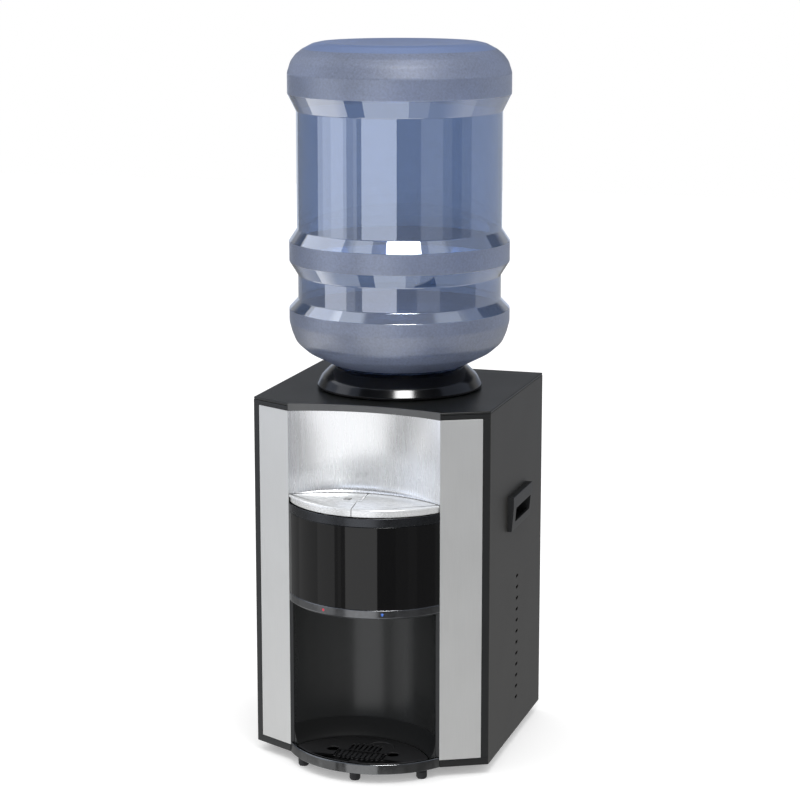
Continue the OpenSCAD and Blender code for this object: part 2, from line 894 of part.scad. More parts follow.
module hot_plunger() color("#f0efe9") mirror([1, 0, 0]) plunger();

module valve_spring() {
    turns = 5;
    wire_r = 0.8;
    coil_r = 5.6;
    spring_z0 = valve_z0 + 4.9;
    rise = piston_z0 - 0.9 - spring_z0;
    steps = 10;
    bent_tube([for (i = [0:turns * steps])
        let (a = 360 * i / steps, t = i / (turns * steps))
        [spout_x + coil_r * cos(a), valve_y + coil_r * sin(a), spring_z0 + rise * t]
    ], wire_r, 6);
}

module cold_valve_spring() color("#9a9c9e") valve_spring();

module hot_valve_spring() color("#9a9c9e") mirror([1, 0, 0]) valve_spring();

// The joint between the paddles runs back from the front edge, with one jog.
// Each paddle stops half a gap short of it, side -1 for the left one.
jog_y = y_open - 8;

module paddle_half(side) {
    g = side * 0.35;
    j = side * 0.7;
    front_x = 2;
    jog_x0 = -6;
    jog_x1 = -1;
    back_x = -6;
    polygon([
        [front_x + g, y_open - 60], [jog_x0 + g, jog_y - j], [jog_x1 + g, jog_y - j],
        [back_x + g, y_open + 45], [side * 120, y_open + 45], [side * 120, y_open - 60]
    ]);
}

// Rear edge of the paddles, under the foot of the recess panel
module paddle_rear_limit(z0, z1)
    let (r = sagitta_r(open_hw, paddle_rear))
        translate([0, y_open + paddle_rear - r, z0])
            cylinder(r = r, h = z1 - z0, $fn = 160);

module paddle(side) {
    skirt_t = 2;
    knuckle_w = 11;
    difference() {
        union() {
            intersection() {
                translate([0, nose_cy, 0])
                    union() {
                        translate([0, 0, z_paddle - paddle_t])
                            cylinder(r = paddle_r, h = paddle_t, $fn = 160);
                        translate([0, 0, z_lip + gap])
                            difference() {
                                cylinder(r = paddle_r, h = z_paddle - z_lip - gap, $fn = 160);
                                translate([0, 0, -1])
                                    cylinder(r = paddle_r - skirt_t, h = 30, $fn = 160);
                            }
                    }
                paddle_rear_limit(z_lip - 1, z_paddle + 1);
                translate([0, 0, z_lip - 1])
                    linear_extrude(30)
                        paddle_half(side);
                translate([-open_hw + 3.5, y_open - 60, z_lip - 1])
                    cube([2 * open_hw - 7, 110, 30]);
            }
            for (x = [9, 28])
                translate([side < 0 ? -x - knuckle_w : x, 0, 0]) {
                    translate([0, hinge_y, hinge_z])
                        rotate([0, 90, 0])
                            cylinder(r = knuckle_r, h = knuckle_w);
                    translate([0, hinge_y - 4, hinge_z])
                        cube([knuckle_w, 6, z_paddle - hinge_z - 1]);
                }
        }
        translate([-60, hinge_y, hinge_z])
            rotate([0, 90, 0])
                cylinder(r = pin_r + run_fit, h = 120);
        children();
    }
}

slide_x0 = -48;
slide_y0 = y_open - 6;
slide_l = 24;
slide_w = 12;
slide_travel = 9;

module hot_paddle() color("#d9dadb")
    paddle(-1)
        translate([slide_x0, slide_y0, z_paddle - 10])
            cube([slide_l + slide_travel, slide_w, 20]);

module cold_paddle() color("#d9dadb") paddle(1);

module safety_slide() color("#c8c9ca") {
    translate([slide_x0 + gap, slide_y0 + gap, z_paddle - paddle_t - 1])
        cube([slide_l, slide_w - 2 * gap, paddle_t + 1.4]);
    translate([slide_x0 - 1.5, slide_y0 - 1.5, z_paddle - paddle_t - gap - 2])
        cube([slide_l + 4, slide_w + 3, 2]);
    for (i = [0:3])
        translate([slide_x0 + 7 + i * 3, slide_y0 + 2.5, z_paddle + 0.2])
            cube([1.2, 7, 0.7]);
}

// ---- Drip tray ----

module tray_plan(inset)
    intersection() {
        translate([0, nose_cy])
            circle(r = tray_r - inset, $fn = 160);
        translate([0, alcove_cy])
            circle(r = tray_back_r - inset, $fn = 160);
        square([2 * (alcove_hw - 8 - inset), 600], center = true);
    }

module drip_tray() color("#141516")
    translate([0, 0, tray_z0])
        difference() {
            linear_extrude(grille_z0 - gap - tray_z0)
                tray_plan(0);
            translate([0, 0, 1.5])
                linear_extrude(20)
                    tray_plan(2);
        }

module drip_grille() color("#1c1d1e") {
    hole_r = 7.5;
    slot_w = 2.8;
    slot_pitch = 6;
    difference() {
        union() {
            translate([0, 0, grille_z0])
                linear_extrude(2)
                    tray_plan(0.4);
            // lugs that keep it on the tray
            for (x = [-40, 40])
                translate([x - 4, y_open + 18, grille_z0 - 3])
                    cube([8, 3, 3.5]);
        }
        for (s = [-1, 1])
            translate([s * spout_x, spout_y + 2, grille_z0 - 1])
                cylinder(r = hole_r, h = 5);
        for (i = [-5:5])
            translate([i * slot_pitch - slot_w / 2, y_open - 30 + abs(i), grille_z0 - 1])
                cube([slot_w, 18, 5]);
        for (i = [-3:3])
            translate([i * slot_pitch - slot_w / 2, y_open - 4, grille_z0 - 1])
                cube([slot_w, 26 - abs(i) * 2, 5]);
        // notch for a fingertip
        translate([-5, y_open - 46, grille_z0 - 1])
            cube([10, 7, 5]);
    }
}

// ---- Bottle ----

// Outline of the upturned bottle, from the neck's end up to its flat base
neck_r = 27.5;
bottle_outline = [
    [0, zb + 368], [neck_r, zb + 368], [neck_r, zb + 424], [31, zb + 434], [40, zb + 444.5],
    [60, zb + 455.5], [85, zb + 466.6], [100, zb + 473.5], [112.8, zb + 481], [121, zb + 487],
    [126.5, zb + 493], [131.5, zb + 505.5], [bottle_r - 0.4, zb + 518], [bottle_r - 0.2, zb + 533],
    [123.8, zb + 548], [123.8, zb + 575], [bottle_r - 0.6, zb + 592], [bottle_r - 0.6, zb + 614],
    [124.8, zb + 630], [124.8, zb + 773], [bottle_r + 0.3, zb + 794], [bottle_r + 0.3, zb + 820],
    [131, zb + 834], [125, zb + 842.5], [117.5, zb + 849], [105, zb + 856], [98, zb + 858],
    [0, zb + 858]
];

module water_bottle() color("#7e92c4", 0.6)
    translate([0, bottle_y, 0])
        difference() {
            rotate_extrude($fn = 96)
                polygon(bottle_outline);
            rotate_extrude($fn = 96)
                intersection() {
                    offset(delta = -bottle_t)
                        polygon(concat([[-9, zb + 368]], bottle_outline, [[-9, zb + 858]]));
                    square([300, 2000]);
                }
            translate([0, 0, zb + 360])
                cylinder(r = neck_r - bottle_t, h = 30);
        }

module bottle_cap() color("#e9eef4")
    translate([0, bottle_y, 0])
        rotate_extrude($fn = 72)
            polygon([
                [neck_r + 0.1, zb + 407], [neck_r + 1.9, zb + 407], [neck_r + 1.9, zb + 366],
                [12.6, zb + 366], [12.6, zb + 402], [14, zb + 402], [14, zb + 368],
                [neck_r + 0.1, zb + 368]
            ]);

// ---- Back ----

module switch_bezels() color("#121212")
    for (s = [-1, 1])
        translate([s * 22, rear_y, switch_z])
            rotate([90, 0, 0])
                difference() {
                    union() {
                        translate([-9, -13, -2])
                            cube([18, 26, 2]);
                        translate([-7, -11, 0])
                            cube([14, 22, 14]);
                    }
                    translate([-5.6, -9.6, -5])
                        cube([11.2, 19.2, 17]);
                    translate([-8, 0, rocker_in])
                        rotate([0, 90, 0])
                            cylinder(r = trunnion_r + run_fit, h = 16);
                }

// A rocker with a shallow V face on two round trunnions, shown tipped to its ON side
module rocker(x)
    translate([x, rear_y - rocker_in, switch_z])
        rotate([8, 0, 0])
            rotate([90, 0, 90]) {
                translate([0, 0, -5.2])
                    linear_extrude(10.4)
                        polygon([[-4, -5], [6.5, -8.4], [5.4, 0], [6.5, 8.4], [-4, 5]]);
                translate([0, 0, -6.7])
                    cylinder(r = trunnion_r, h = 13.4);
            }

module heater_switch() color("#b3261e") rocker(-22);

module cooling_switch() color("#2c6f3f") rocker(22);

module cord_gland() color("#161616")
    translate([gland_x, rear_y, gland_z])
        rotate([-90, 0, 0])
            difference() {
                union() {
                    cylinder(r = 11, h = 3);
                    translate([0, 0, -9])
                        cylinder(r = 7.8, h = 9);
                }
                translate([0, 0, -10])
                    cylinder(r = 3.6, h = 20);
            }

base_pan();
feet();
left_side_panel();
right_side_panel();
top_cover();
back_panel();
front_frame();
left_wing_panel();
right_wing_panel();
recess_panel();
lip_ring();
front_panel();
accent_band();
hot_marker();
cold_marker();
alcove_liner();
left_handle_grip();
right_handle_grip();
bottle_collar();
funnel();
cold_tank();
cold_tank_insulation();
evaporator_coil();
hot_tank();
hot_tank_jacket();
band_heater();
thermostats();
compressor();
compressor_grommets();
condenser();
filter_drier();
refrigerant_pipes();
hot_feed_tube();
hot_outlet_tube();
cold_outlet_tube();
drain_tube();
terminal_block();
paddle_bracket();
hinge_pins();
hot_valve_body();
cold_valve_body();
spouts();
cord_gland();
switch_bezels();
housing_screws();
hot_paddle();
cold_paddle();
safety_slide();
hot_plunger();
cold_plunger();
hot_valve_spring();
cold_valve_spring();
drip_tray();
drip_grille();
water_bottle();
bottle_cap();
heater_switch();
cooling_switch();
drain_cap();
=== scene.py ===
import json
import math

import bmesh
import bpy
from mathutils import Matrix, Vector


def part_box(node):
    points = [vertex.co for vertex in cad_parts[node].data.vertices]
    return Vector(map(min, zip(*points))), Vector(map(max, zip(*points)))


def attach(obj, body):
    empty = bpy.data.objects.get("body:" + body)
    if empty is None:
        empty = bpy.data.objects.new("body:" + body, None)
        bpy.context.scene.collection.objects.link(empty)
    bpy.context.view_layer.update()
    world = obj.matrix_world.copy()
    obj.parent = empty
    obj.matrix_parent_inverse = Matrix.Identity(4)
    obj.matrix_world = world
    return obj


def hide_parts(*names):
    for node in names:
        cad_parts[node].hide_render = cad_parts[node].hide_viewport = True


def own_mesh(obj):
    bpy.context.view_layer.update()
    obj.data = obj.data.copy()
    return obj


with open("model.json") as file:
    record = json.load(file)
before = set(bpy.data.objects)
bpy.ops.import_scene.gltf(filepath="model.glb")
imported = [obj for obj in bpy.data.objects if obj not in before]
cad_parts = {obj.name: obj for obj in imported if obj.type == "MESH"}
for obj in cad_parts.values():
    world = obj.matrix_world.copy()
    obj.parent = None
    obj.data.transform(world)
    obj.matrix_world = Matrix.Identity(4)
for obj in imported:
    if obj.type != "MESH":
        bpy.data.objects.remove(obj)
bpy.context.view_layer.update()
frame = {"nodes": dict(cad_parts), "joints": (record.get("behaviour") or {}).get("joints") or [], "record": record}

# Looks of a countertop water dispenser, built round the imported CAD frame.
# Metres, in the CAD frame: +X to the user's right, +Y to the back, +Z up.

MM = 0.001
SLOT_OF = {s["node"]: s["material_slot"] for s in frame["record"]["subparts"]}
BODY_OF = {n: b for b, members in frame["record"]["behaviour"]["bodies"].items() for n in members}

# ---- Driving sizes, all from the frame ----

side_lo, side_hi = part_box("right_side_panel")
half_w = side_hi.x
y_wing = side_lo.y
y_back = side_hi.y
z_under = side_lo.z
z_cover = side_hi.z
z_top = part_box("top_cover")[1].z
y_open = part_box("right_wing_panel")[0].y
open_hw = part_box("right_wing_panel")[0].x
nose_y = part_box("front_panel")[0].y
z_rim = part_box("base_pan")[1].z
z_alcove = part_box("accent_band")[0].z
z_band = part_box("accent_band")[1].z
z_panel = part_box("front_panel")[1].z
z_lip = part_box("lip_ring")[1].z
z_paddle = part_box("cold_paddle")[1].z
z_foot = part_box("recess_panel")[0].z
z_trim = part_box("recess_panel")[1].z
bottle_y = sum(corner.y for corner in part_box("water_bottle")) / 2

nose_out = y_open - nose_y
nose_r = (open_hw ** 2 + nose_out ** 2) / (2 * nose_out)
nose_cy = nose_y + nose_r
nose_turn = math.asin(open_hw / nose_r)
wing_slope = (y_wing - y_open) / (half_w - open_hw)

# Depth of the leaning recess behind the opening plane, by height
RECESS_FOOT = 38 * MM
RECESS_HEAD = 19 * MM
RECESS_TOP = 11.3 * MM


# ---- Colour and node helpers ----

def srgb(r, g, b):
    """A colour given as 0 to 255 values on the display, as linear RGB."""
    def linear(v):
        v /= 255
        return v / 12.92 if v <= 0.04045 else ((v + 0.055) / 1.055) ** 2.4
    return (linear(r), linear(g), linear(b))


def shade(colour, factor):
    return tuple(min(1.0, c * factor) for c in colour)


class Nodes:
    """A thin wrapper that adds and links shader nodes."""

    def __init__(self, tree):
        self.tree = tree

    def add(self, kind, links=None, values=None, **settings):
        node = self.tree.nodes.new(kind)
        for key, value in settings.items():
            setattr(node, key, value)
        for key, value in (values or {}).items():
            node.inputs[key].default_value = value
        for key, socket in (links or {}).items():
            self.tree.links.new(socket, node.inputs[key])
        return node

    def math(self, operation, a, b):
        node = self.add("ShaderNodeMath", operation=operation)
        for socket, value in zip(node.inputs, (a, b)):
            if isinstance(value, (int, float)):
                socket.default_value = value
            else:
                self.tree.links.new(value, socket)
        return node.outputs[0]

    def ramp(self, fac, stops, interpolation="LINEAR"):
        node = self.add("ShaderNodeValToRGB", {"Fac": fac})
        ramp = node.color_ramp
        ramp.interpolation = interpolation
        while len(ramp.elements) < len(stops):
            ramp.elements.new(1.0)
        for element, (place, colour) in zip(ramp.elements, stops):
            element.position = place
            element.color = (*colour, 1.0)
        return node.outputs["Color"]


def material(name, rgb, roughness, sockets=None, grain=300, spread=0.08, rough_spread=0.08,
             bump=0.15, depth=0.0001, haze=0.05):
    """A Principled material with fine grain in colour, roughness and bump, and broad haze."""
    colour = srgb(*rgb)
    scale = grain if isinstance(grain, tuple) else (grain,) * 3
    m = bpy.data.materials.new(name)
    m.use_nodes = True
    nodes = Nodes(m.node_tree)
    bsdf = m.node_tree.nodes["Principled BSDF"]
    for key, value in (sockets or {}).items():
        bsdf.inputs[key].default_value = value
    place = nodes.add("ShaderNodeTexCoord").outputs["Object"]
    stretched = nodes.add("ShaderNodeMapping", {"Vector": place}, {"Scale": scale}).outputs["Vector"]
    fine = nodes.add("ShaderNodeTexNoise", {"Vector": stretched},
                     {"Scale": 1.0, "Detail": 3.0, "Roughness": 0.6}).outputs["Fac"]
    broad = nodes.add("ShaderNodeTexNoise", {"Vector": place},
                      {"Scale": 14.0, "Detail": 4.0}).outputs["Fac"]
    mixed = nodes.math("ADD", nodes.math("MULTIPLY", fine, 0.65), nodes.math("MULTIPLY", broad, 0.35))
    tint = nodes.ramp(mixed, [(0.3, shade(colour, 1 - spread)), (0.7, shade(colour, 1 + spread))])
    m.node_tree.links.new(tint, bsdf.inputs["Base Color"])
    rough = nodes.add("ShaderNodeMapRange", {"Value": fine},
                      {"From Min": 0.3, "From Max": 0.7,
                       "To Min": max(0.0, roughness - rough_spread / 2),
                       "To Max": min(1.0, roughness + rough_spread / 2)}).outputs["Result"]
    hazed = nodes.math("ADD", rough, nodes.math("MULTIPLY", nodes.math("SUBTRACT", broad, 0.5), haze))
    m.node_tree.links.new(hazed, bsdf.inputs["Roughness"])
    node = nodes.add("ShaderNodeBump", {"Height": fine}, {"Strength": bump, "Distance": depth})
    m.node_tree.links.new(node.outputs["Normal"], bsdf.inputs["Normal"])
    return m


# ---- Materials, one for each slot of the record ----

MATERIALS = {}


def slot_material(name, *looks, **grains):
    MATERIALS[name] = material(name, *looks, **grains)


slot_material("gloss_black", (9, 9, 10), 0.05, {"Specular IOR Level": 0.5}, spread=0.15,
              rough_spread=0.02, bump=0.02, haze=0.03)
slot_material("rubber_black", (30, 30, 31), 0.62, grain=900, bump=0.5, depth=0.0002)
slot_material("side_paint", (51, 50, 47), 0.46, {"Specular IOR Level": 0.35}, grain=1500,
              spread=0.05, bump=0.35)
slot_material("satin_black", (30, 31, 30), 0.34, {"Specular IOR Level": 0.4}, grain=1300, bump=0.3)
slot_material("bezel_black", (24, 25, 25), 0.34, grain=1300, bump=0.25)
slot_material("brushed_silver", (219, 219, 217), 0.36, {"Metallic": 0.72, "Anisotropic": 0.35},
              grain=(2600, 2600, 28), spread=0.04, rough_spread=0.12, bump=0.05, depth=0.00003)
slot_material("satin_silver", (237, 238, 240), 0.27, {"Metallic": 0.78}, grain=(260, 90, 4),
              spread=0.025, rough_spread=0.05, bump=0.01, depth=0.00002)
slot_material("dark_grey", (72, 73, 75), 0.26, {"Metallic": 1.0}, bump=0.04)
slot_material("band_grey", (118, 119, 121), 0.17, {"Metallic": 1.0}, bump=0.04)
slot_material("marker_red", (205, 28, 62), 0.3, {"Coat Weight": 0.4}, bump=0.05)
slot_material("marker_blue", (62, 112, 205), 0.3, {"Coat Weight": 0.4}, bump=0.05)
slot_material("grip_black", (26, 27, 27), 0.42, grain=1100, bump=0.4)
slot_material("white_plastic", (226, 224, 215), 0.4, bump=0.1)
slot_material("inner_steel", (178, 180, 182), 0.28, {"Metallic": 1.0}, grain=(60, 60, 1500), bump=0.08)
slot_material("foam", (226, 222, 206), 0.9, grain=420, spread=0.12, bump=0.9, depth=0.0008)
slot_material("copper", (190, 118, 78), 0.3, {"Metallic": 1.0}, grain=120, spread=0.2, bump=0.05)
slot_material("compressor_paint", (22, 23, 25), 0.38, {"Coat Weight": 0.3}, grain=260, bump=0.2,
              depth=0.0003)
slot_material("tube_silicone", (224, 222, 214), 0.35, {"Transmission Weight": 0.35}, bump=0.05)
slot_material("spout_black", (22, 22, 23), 0.3, bump=0.1)
slot_material("paddle_silver", (234, 235, 235), 0.27, {"Metallic": 0.45}, grain=(40, 1500, 1500),
              spread=0.02, rough_spread=0.06, bump=0.03, depth=0.00004)
slot_material("tray_black", (38, 38, 39), 0.42, grain=900, bump=0.2)
slot_material("cap_white", (225, 230, 236), 0.42, bump=0.1)
slot_material("switch_red", (168, 24, 18), 0.22, {"Coat Weight": 0.5}, bump=0.03)
slot_material("switch_green", (28, 108, 60), 0.22, {"Coat Weight": 0.5}, bump=0.03)


def bottle_material(name, rgb, roughness, bump, grain, spread=0.05, sockets=None):
    """Blue polycarbonate, clear or frosted; the bump also breaks up the coat."""
    values = {"Transmission Weight": 1.0, "IOR": 1.45, "Coat Weight": 1.0, "Coat Roughness": 0.02,
              "Coat IOR": 2.8, **(sockets or {})}
    m = material(name, rgb, roughness, values, grain=grain, spread=spread, rough_spread=0.02,
                 bump=bump, depth=0.0004, haze=0.01)
    bsdf = m.node_tree.nodes["Principled BSDF"]
    m.node_tree.links.new(bsdf.inputs["Normal"].links[0].from_socket, bsdf.inputs["Coat Normal"])
    return m


MATERIALS["bottle_blue"] = bottle_material("bottle_blue", (169, 191, 227), 0.03, 0.03, 60)
FROSTED = bottle_material("bottle_frosted", (148, 161, 191), 0.3, 0.9, 380, 0.3, {
    "Transmission Weight": 0.7, "Coat Weight": 0.6, "Coat Roughness": 0.35, "Coat IOR": 2.5})
FROSTED_TOP = bottle_material("bottle_frosted_top", (148, 160, 188), 0.5, 0.9, 380, 0.3, {
    "Transmission Weight": 0.62, "Coat Weight": 0.2, "Coat Roughness": 0.55,
    "Specular IOR Level": 0.2})
BOTTLE_BASE = bottle_material("bottle_base", (142, 163, 208), 0.4, 0.3, 300, 0.08, {
    "Transmission Weight": 0.5, "Coat Weight": 0.2, "Coat Roughness": 0.3, "Coat IOR": 1.8})
ALCOVE_BLACK = material("alcove_black", (38, 39, 39), 0.22, {"Specular IOR Level": 0.6}, grain=900,
                        bump=0.06)
# painted shade: a darker, matt copy of the alcove's black, for the cove at the foot of the alcove
ALCOVE_SHADED_MATT = material("alcove_matt_painted_shade", (26, 27, 27), 0.65, {"Specular IOR Level": 0.2}, grain=900,
                       bump=0.3)
# painted light: the trim is a lighter grey than the bezel black of its part, standing in for the light on its face
# and top edge
TRIM_LIT_GREY = material("trim_painted_light", (82, 83, 84), 0.4, grain=1300, bump=0.25)
RIM_GREY = material("rim_grey", (118, 119, 120), 0.11, {"Metallic": 1.0}, bump=0.02)
COLLAR_GLOSS = material("collar_gloss", (8, 8, 9), 0.15, {
    "Coat Weight": 1.0, "Coat IOR": 1.5, "Coat Roughness": 0.16, "Specular IOR Level": 0.0},
    spread=0.15, rough_spread=0.02, bump=0.02, haze=0.03)


# ---- Mesh helpers ----

def fillet(points, closed=True, steps=5):
    """Turns (x, y, r) corners of an outline into arcs of radius r; (x, y) stays sharp."""
    out = []
    for i, p in enumerate(points):
        here = Vector(p[:2])
        radius = p[2] if len(p) > 2 else 0.0
        if radius <= 0 or (not closed and i in (0, len(points) - 1)):
            out.append(here)
            continue
        back = Vector(points[i - 1][:2]) - here
        on = Vector(points[(i + 1) % len(points)][:2]) - here
        half = back.angle(on) / 2
        if half > math.pi / 2 - 0.01:
            out.append(here)
            continue
        cut = min(radius / math.tan(half), 0.49 * back.length, 0.49 * on.length)
        reach = cut * math.tan(half)
        back.normalize()
        on.normalize()
        centre = here + (back + on).normalized() * (reach / math.sin(half))
        start = math.atan2(*reversed(here + back * cut - centre))
        turn = math.atan2(*reversed(here + on * cut - centre)) - start
        turn = (turn + math.pi) % (2 * math.pi) - math.pi
        for k in range(steps + 1):
            a = start + turn * k / steps
            out.append(centre + reach * Vector((math.cos(a), math.sin(a))))
    return out


def from_mm(x, y, corners):
    """Corners of an outline, (dx, dy) or (dx, dy, r), given in mm from the point (x, y)."""
    return [(x + dx * MM, y + dy * MM, *(r * MM for r in rest)) for dx, dy, *rest in corners]


def sagitta_radius(half_chord, depth):
    """The radius of an arc that stands depth high over its chord."""
    return (half_chord ** 2 + depth ** 2) / (2 * depth)


def new_object(name, mesh):
    obj = bpy.data.objects.new(name, mesh)
    bpy.context.scene.collection.objects.link(obj)
    return obj


def finished(bm):
    mesh = bpy.data.meshes.new("mesh")
    bm.to_mesh(mesh)
    bm.free()
    return mesh


def mesh_of(bm):
    """A clean mesh: doubles merged and faces turned outward."""
    bmesh.ops.remove_doubles(bm, verts=bm.verts, dist=1e-7)
    bmesh.ops.recalc_face_normals(bm, faces=bm.faces)
    return finished(bm)


def baked(obj):
    """The object's mesh with its modifiers applied; the object is removed."""
    graph = bpy.context.evaluated_depsgraph_get()
    mesh = bpy.data.meshes.new_from_object(obj.evaluated_get(graph), depsgraph=graph)
    bpy.data.objects.remove(obj)
    return mesh


def joined(meshes):
    bm = bmesh.new()
    for mesh in meshes:
        bm.from_mesh(mesh)
        bpy.data.meshes.remove(mesh)
    return finished(bm)


def bevel(obj, width, segments=3, angle=35, weights=False):
    mod = obj.modifiers.new("edges", "BEVEL")
    mod.width = width
    mod.segments = segments
    mod.limit_method = "WEIGHT" if weights else "ANGLE"
    mod.angle_limit = math.radians(angle)
    mod.use_clamp_overlap = not weights
    return obj


def rounded(mesh, width, segments=3, **how):
    """The mesh with its edges rounded."""
    return baked(bevel(new_object("rounded", mesh), width, segments, **how))


def piece(name, mesh, node, edge=0.0, smooth=35, mat=None):
    """Finishes the visible piece of a CAD node: round edges, the material of its slot, shading and body; the CAD
    node is hidden.
    """
    slot = SLOT_OF[node]
    if edge:
        mesh = rounded(mesh, edge)
    obj = new_object(name, mesh)
    mesh.materials.clear()
    mesh.materials.append(mat or MATERIALS[slot])
    mesh.name = name
    mesh.shade_smooth()
    mesh.set_sharp_from_angle(angle=math.radians(smooth))
    obj.modifiers.new("normals", "WEIGHTED_NORMAL").keep_sharp = True
    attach(obj, BODY_OF[node])
    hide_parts(node)
    return obj


def swept(profile, angles, centre_y, facing=-1, whole=False, closed=True):
    """Sweeps a profile of (radius, z) points through angles round a vertical axis at x = 0.
    Angles count from the direction facing * Y, and a sweep that isn't whole has closed ends."""
    bm = bmesh.new()
    rings = [[bm.verts.new((r * math.sin(a), centre_y + facing * r * math.cos(a), z))
              for r, z in profile] for a in angles]
    sides = len(profile) if closed else len(profile) - 1
    for here, on in zip(rings, rings[1:] + rings[:whole]):
        for i in range(sides):
            j = (i + 1) % len(profile)
            bm.faces.new((here[i], on[i], on[j], here[j]))
    if not whole:
        bm.faces.new(rings[0])
        bm.faces.new(rings[-1])
    bmesh.ops.dissolve_degenerate(bm, dist=1e-7, edges=bm.edges)
    return mesh_of(bm)


def revolved(profile, centre_y=0.0, facing=-1, turn=None, steps=96, closed=True):
    """Sweeps a profile all the way round or, with turn, from -turn to turn."""
    span = turn or math.pi
    angles = [span * (2 * k / steps - 1) for k in range(steps + bool(turn))]
    return swept(profile, angles, centre_y, facing, not turn, closed)


def extruded(outline, z0, z1):
    """A closed prism on a flat outline, between two heights."""
    bm = bmesh.new()
    low = [bm.verts.new((x, y, z0)) for x, y in outline]
    high = [bm.verts.new((x, y, z1)) for x, y in outline]
    bm.faces.new(low)
    bm.faces.new(high)
    for i in range(len(outline)):
        j = (i + 1) % len(outline)
        bm.faces.new((low[i], low[j], high[j], high[i]))
    return mesh_of(bm)


def slab(outline, holes, thickness, edge, rounds=2):
    """A flat sheet from z = 0 up, with round edges on its outline and on its holes."""
    curve = bpy.data.curves.new("slab", "CURVE")
    curve.dimensions = "2D"
    curve.fill_mode = "BOTH"
    curve.extrude = thickness / 2 - edge
    curve.bevel_depth = edge
    curve.bevel_resolution = rounds
    curve.offset = -edge
    for loop in [outline, *holes]:
        spline = curve.splines.new("POLY")
        spline.points.add(len(loop) - 1)
        for point, (x, y) in zip(spline.points, loop):
            point.co = (x, y, 0, 1)
        spline.use_cyclic_u = True
    mesh = baked(new_object("slab", curve))
    bpy.data.curves.remove(curve)
    bm = bmesh.new()
    bm.from_mesh(mesh)
    bpy.data.meshes.remove(mesh)
    bmesh.ops.translate(bm, verts=bm.verts, vec=(0, 0, thickness / 2))
    bmesh.ops.remove_doubles(bm, verts=bm.verts, dist=1e-6)
    bmesh.ops.dissolve_degenerate(bm, dist=1e-7, edges=bm.edges)
    return mesh_of(bm)


def block(lo, hi, edge, segments=3):
    """A closed box between two corners, with round edges."""
    bm = bmesh.new()
    bmesh.ops.create_cube(bm, size=1.0)
    size, middle = Vector(hi) - Vector(lo), (Vector(hi) + Vector(lo)) / 2
    for v in bm.verts:
        v.co = Vector(v.co[i] * size[i] + middle[i] for i in range(3))
    return rounded(mesh_of(bm), edge, segments)


def moved(mesh, matrix):
    mesh.transform(matrix)
    if matrix.determinant() < 0:
        mesh.flip_normals()
    return mesh


def combined(mesh, others, operation="DIFFERENCE"):
    """The mesh with the other meshes' space taken away or, by UNION, added."""
    obj = new_object("stock", mesh)
    tools = [new_object("tool", other) for other in others]
    for tool in tools:
        mod = obj.modifiers.new("cut", "BOOLEAN")
        mod.operation = operation
        mod.solver = "EXACT"
        mod.object = tool
    mesh = baked(obj)
    for tool in tools:
        bpy.data.objects.remove(tool)
    return mesh


def rod(points, radius):
    """A round bar through the points, on a smooth curve, with closed ends."""
    curve = bpy.data.curves.new("rod", "CURVE")
    curve.dimensions = "3D"
    curve.bevel_depth = radius
    curve.bevel_resolution = 3
    curve.use_fill_caps = True
    spline = curve.splines.new("BEZIER")
    spline.bezier_points.add(len(points) - 1)
    for point, co in zip(spline.bezier_points, points):
        point.co = co
        point.handle_left_type = point.handle_right_type = "AUTO"
    mesh = baked(new_object("rod", curve))
    bpy.data.curves.remove(curve)
    return mesh


def mirrored_copy(mesh):
    return moved(mesh.copy(), Matrix.Scale(-1, 4, (1, 0, 0)))


def mirrored_pieces(right, name, node, edge=0.0):
    """A piece on the right side and its mirror image on the left."""
    left = mirrored_copy(right)
    piece(f"right_{name}", right, f"right_{node}", edge)
    piece(f"left_{name}", left, f"left_{node}", edge)


def middle_of(node):
    lo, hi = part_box(node)
    return (lo + hi) / 2


def circle(x, y, r, steps):
    return [(x + r * math.cos(2 * math.pi * k / steps), y + r * math.sin(2 * math.pi * k / steps))
            for k in range(steps)]


def round_rect(x0, y0, x1, y1, r, steps=5):
    corners = [(x0, y0, r), (x1, y0, r), (x1, y1, r), (x0, y1, r)]
    return [tuple(p) for p in fillet(corners, steps=steps)]


def arc_points(r, cy, facing, angles):
    return [(r * math.sin(a), cy + facing * r * math.cos(a)) for a in angles]


def arc(r, cy, half_turn, facing, steps):
    """Points of an arc about (0, cy), from its left end to its right end."""
    return arc_points(r, cy, facing, [half_turn * (2 * k / steps - 1) for k in range(steps + 1)])


def spaced(start, end, steps):
    return [start + (end - start) * k / steps for k in range(steps + 1)]


# Sheet matrices: a slab drawn flat in (x, y) stands up across Y or across X
ACROSS_Y = Matrix(((1, 0, 0, 0), (0, 0, -1, 0), (0, 1, 0, 0), (0, 0, 0, 1)))
ACROSS_X = Matrix(((0, 0, 1, 0), (1, 0, 0, 0), (0, 1, 0, 0), (0, 0, 0, 1)))


# ---- Casing ----

def wing_point(x, depth=0.0):
    """A point on the bevelled corner of the casing, depth behind its face."""
    normal = Vector((-wing_slope, 1)).normalized()
    return Vector((x, y_open + wing_slope * (x - open_hw))) + normal * depth


def casing_plan(inset):
    """The casing's outline seen from above, without the rounded front, from left to right."""
    left = [(-open_hw, y_open + inset), (-half_w + inset, y_wing + inset * 0.6),
            (-half_w + inset, y_back - inset)]
    return left + [(-x, y) for x, y in reversed(left)]


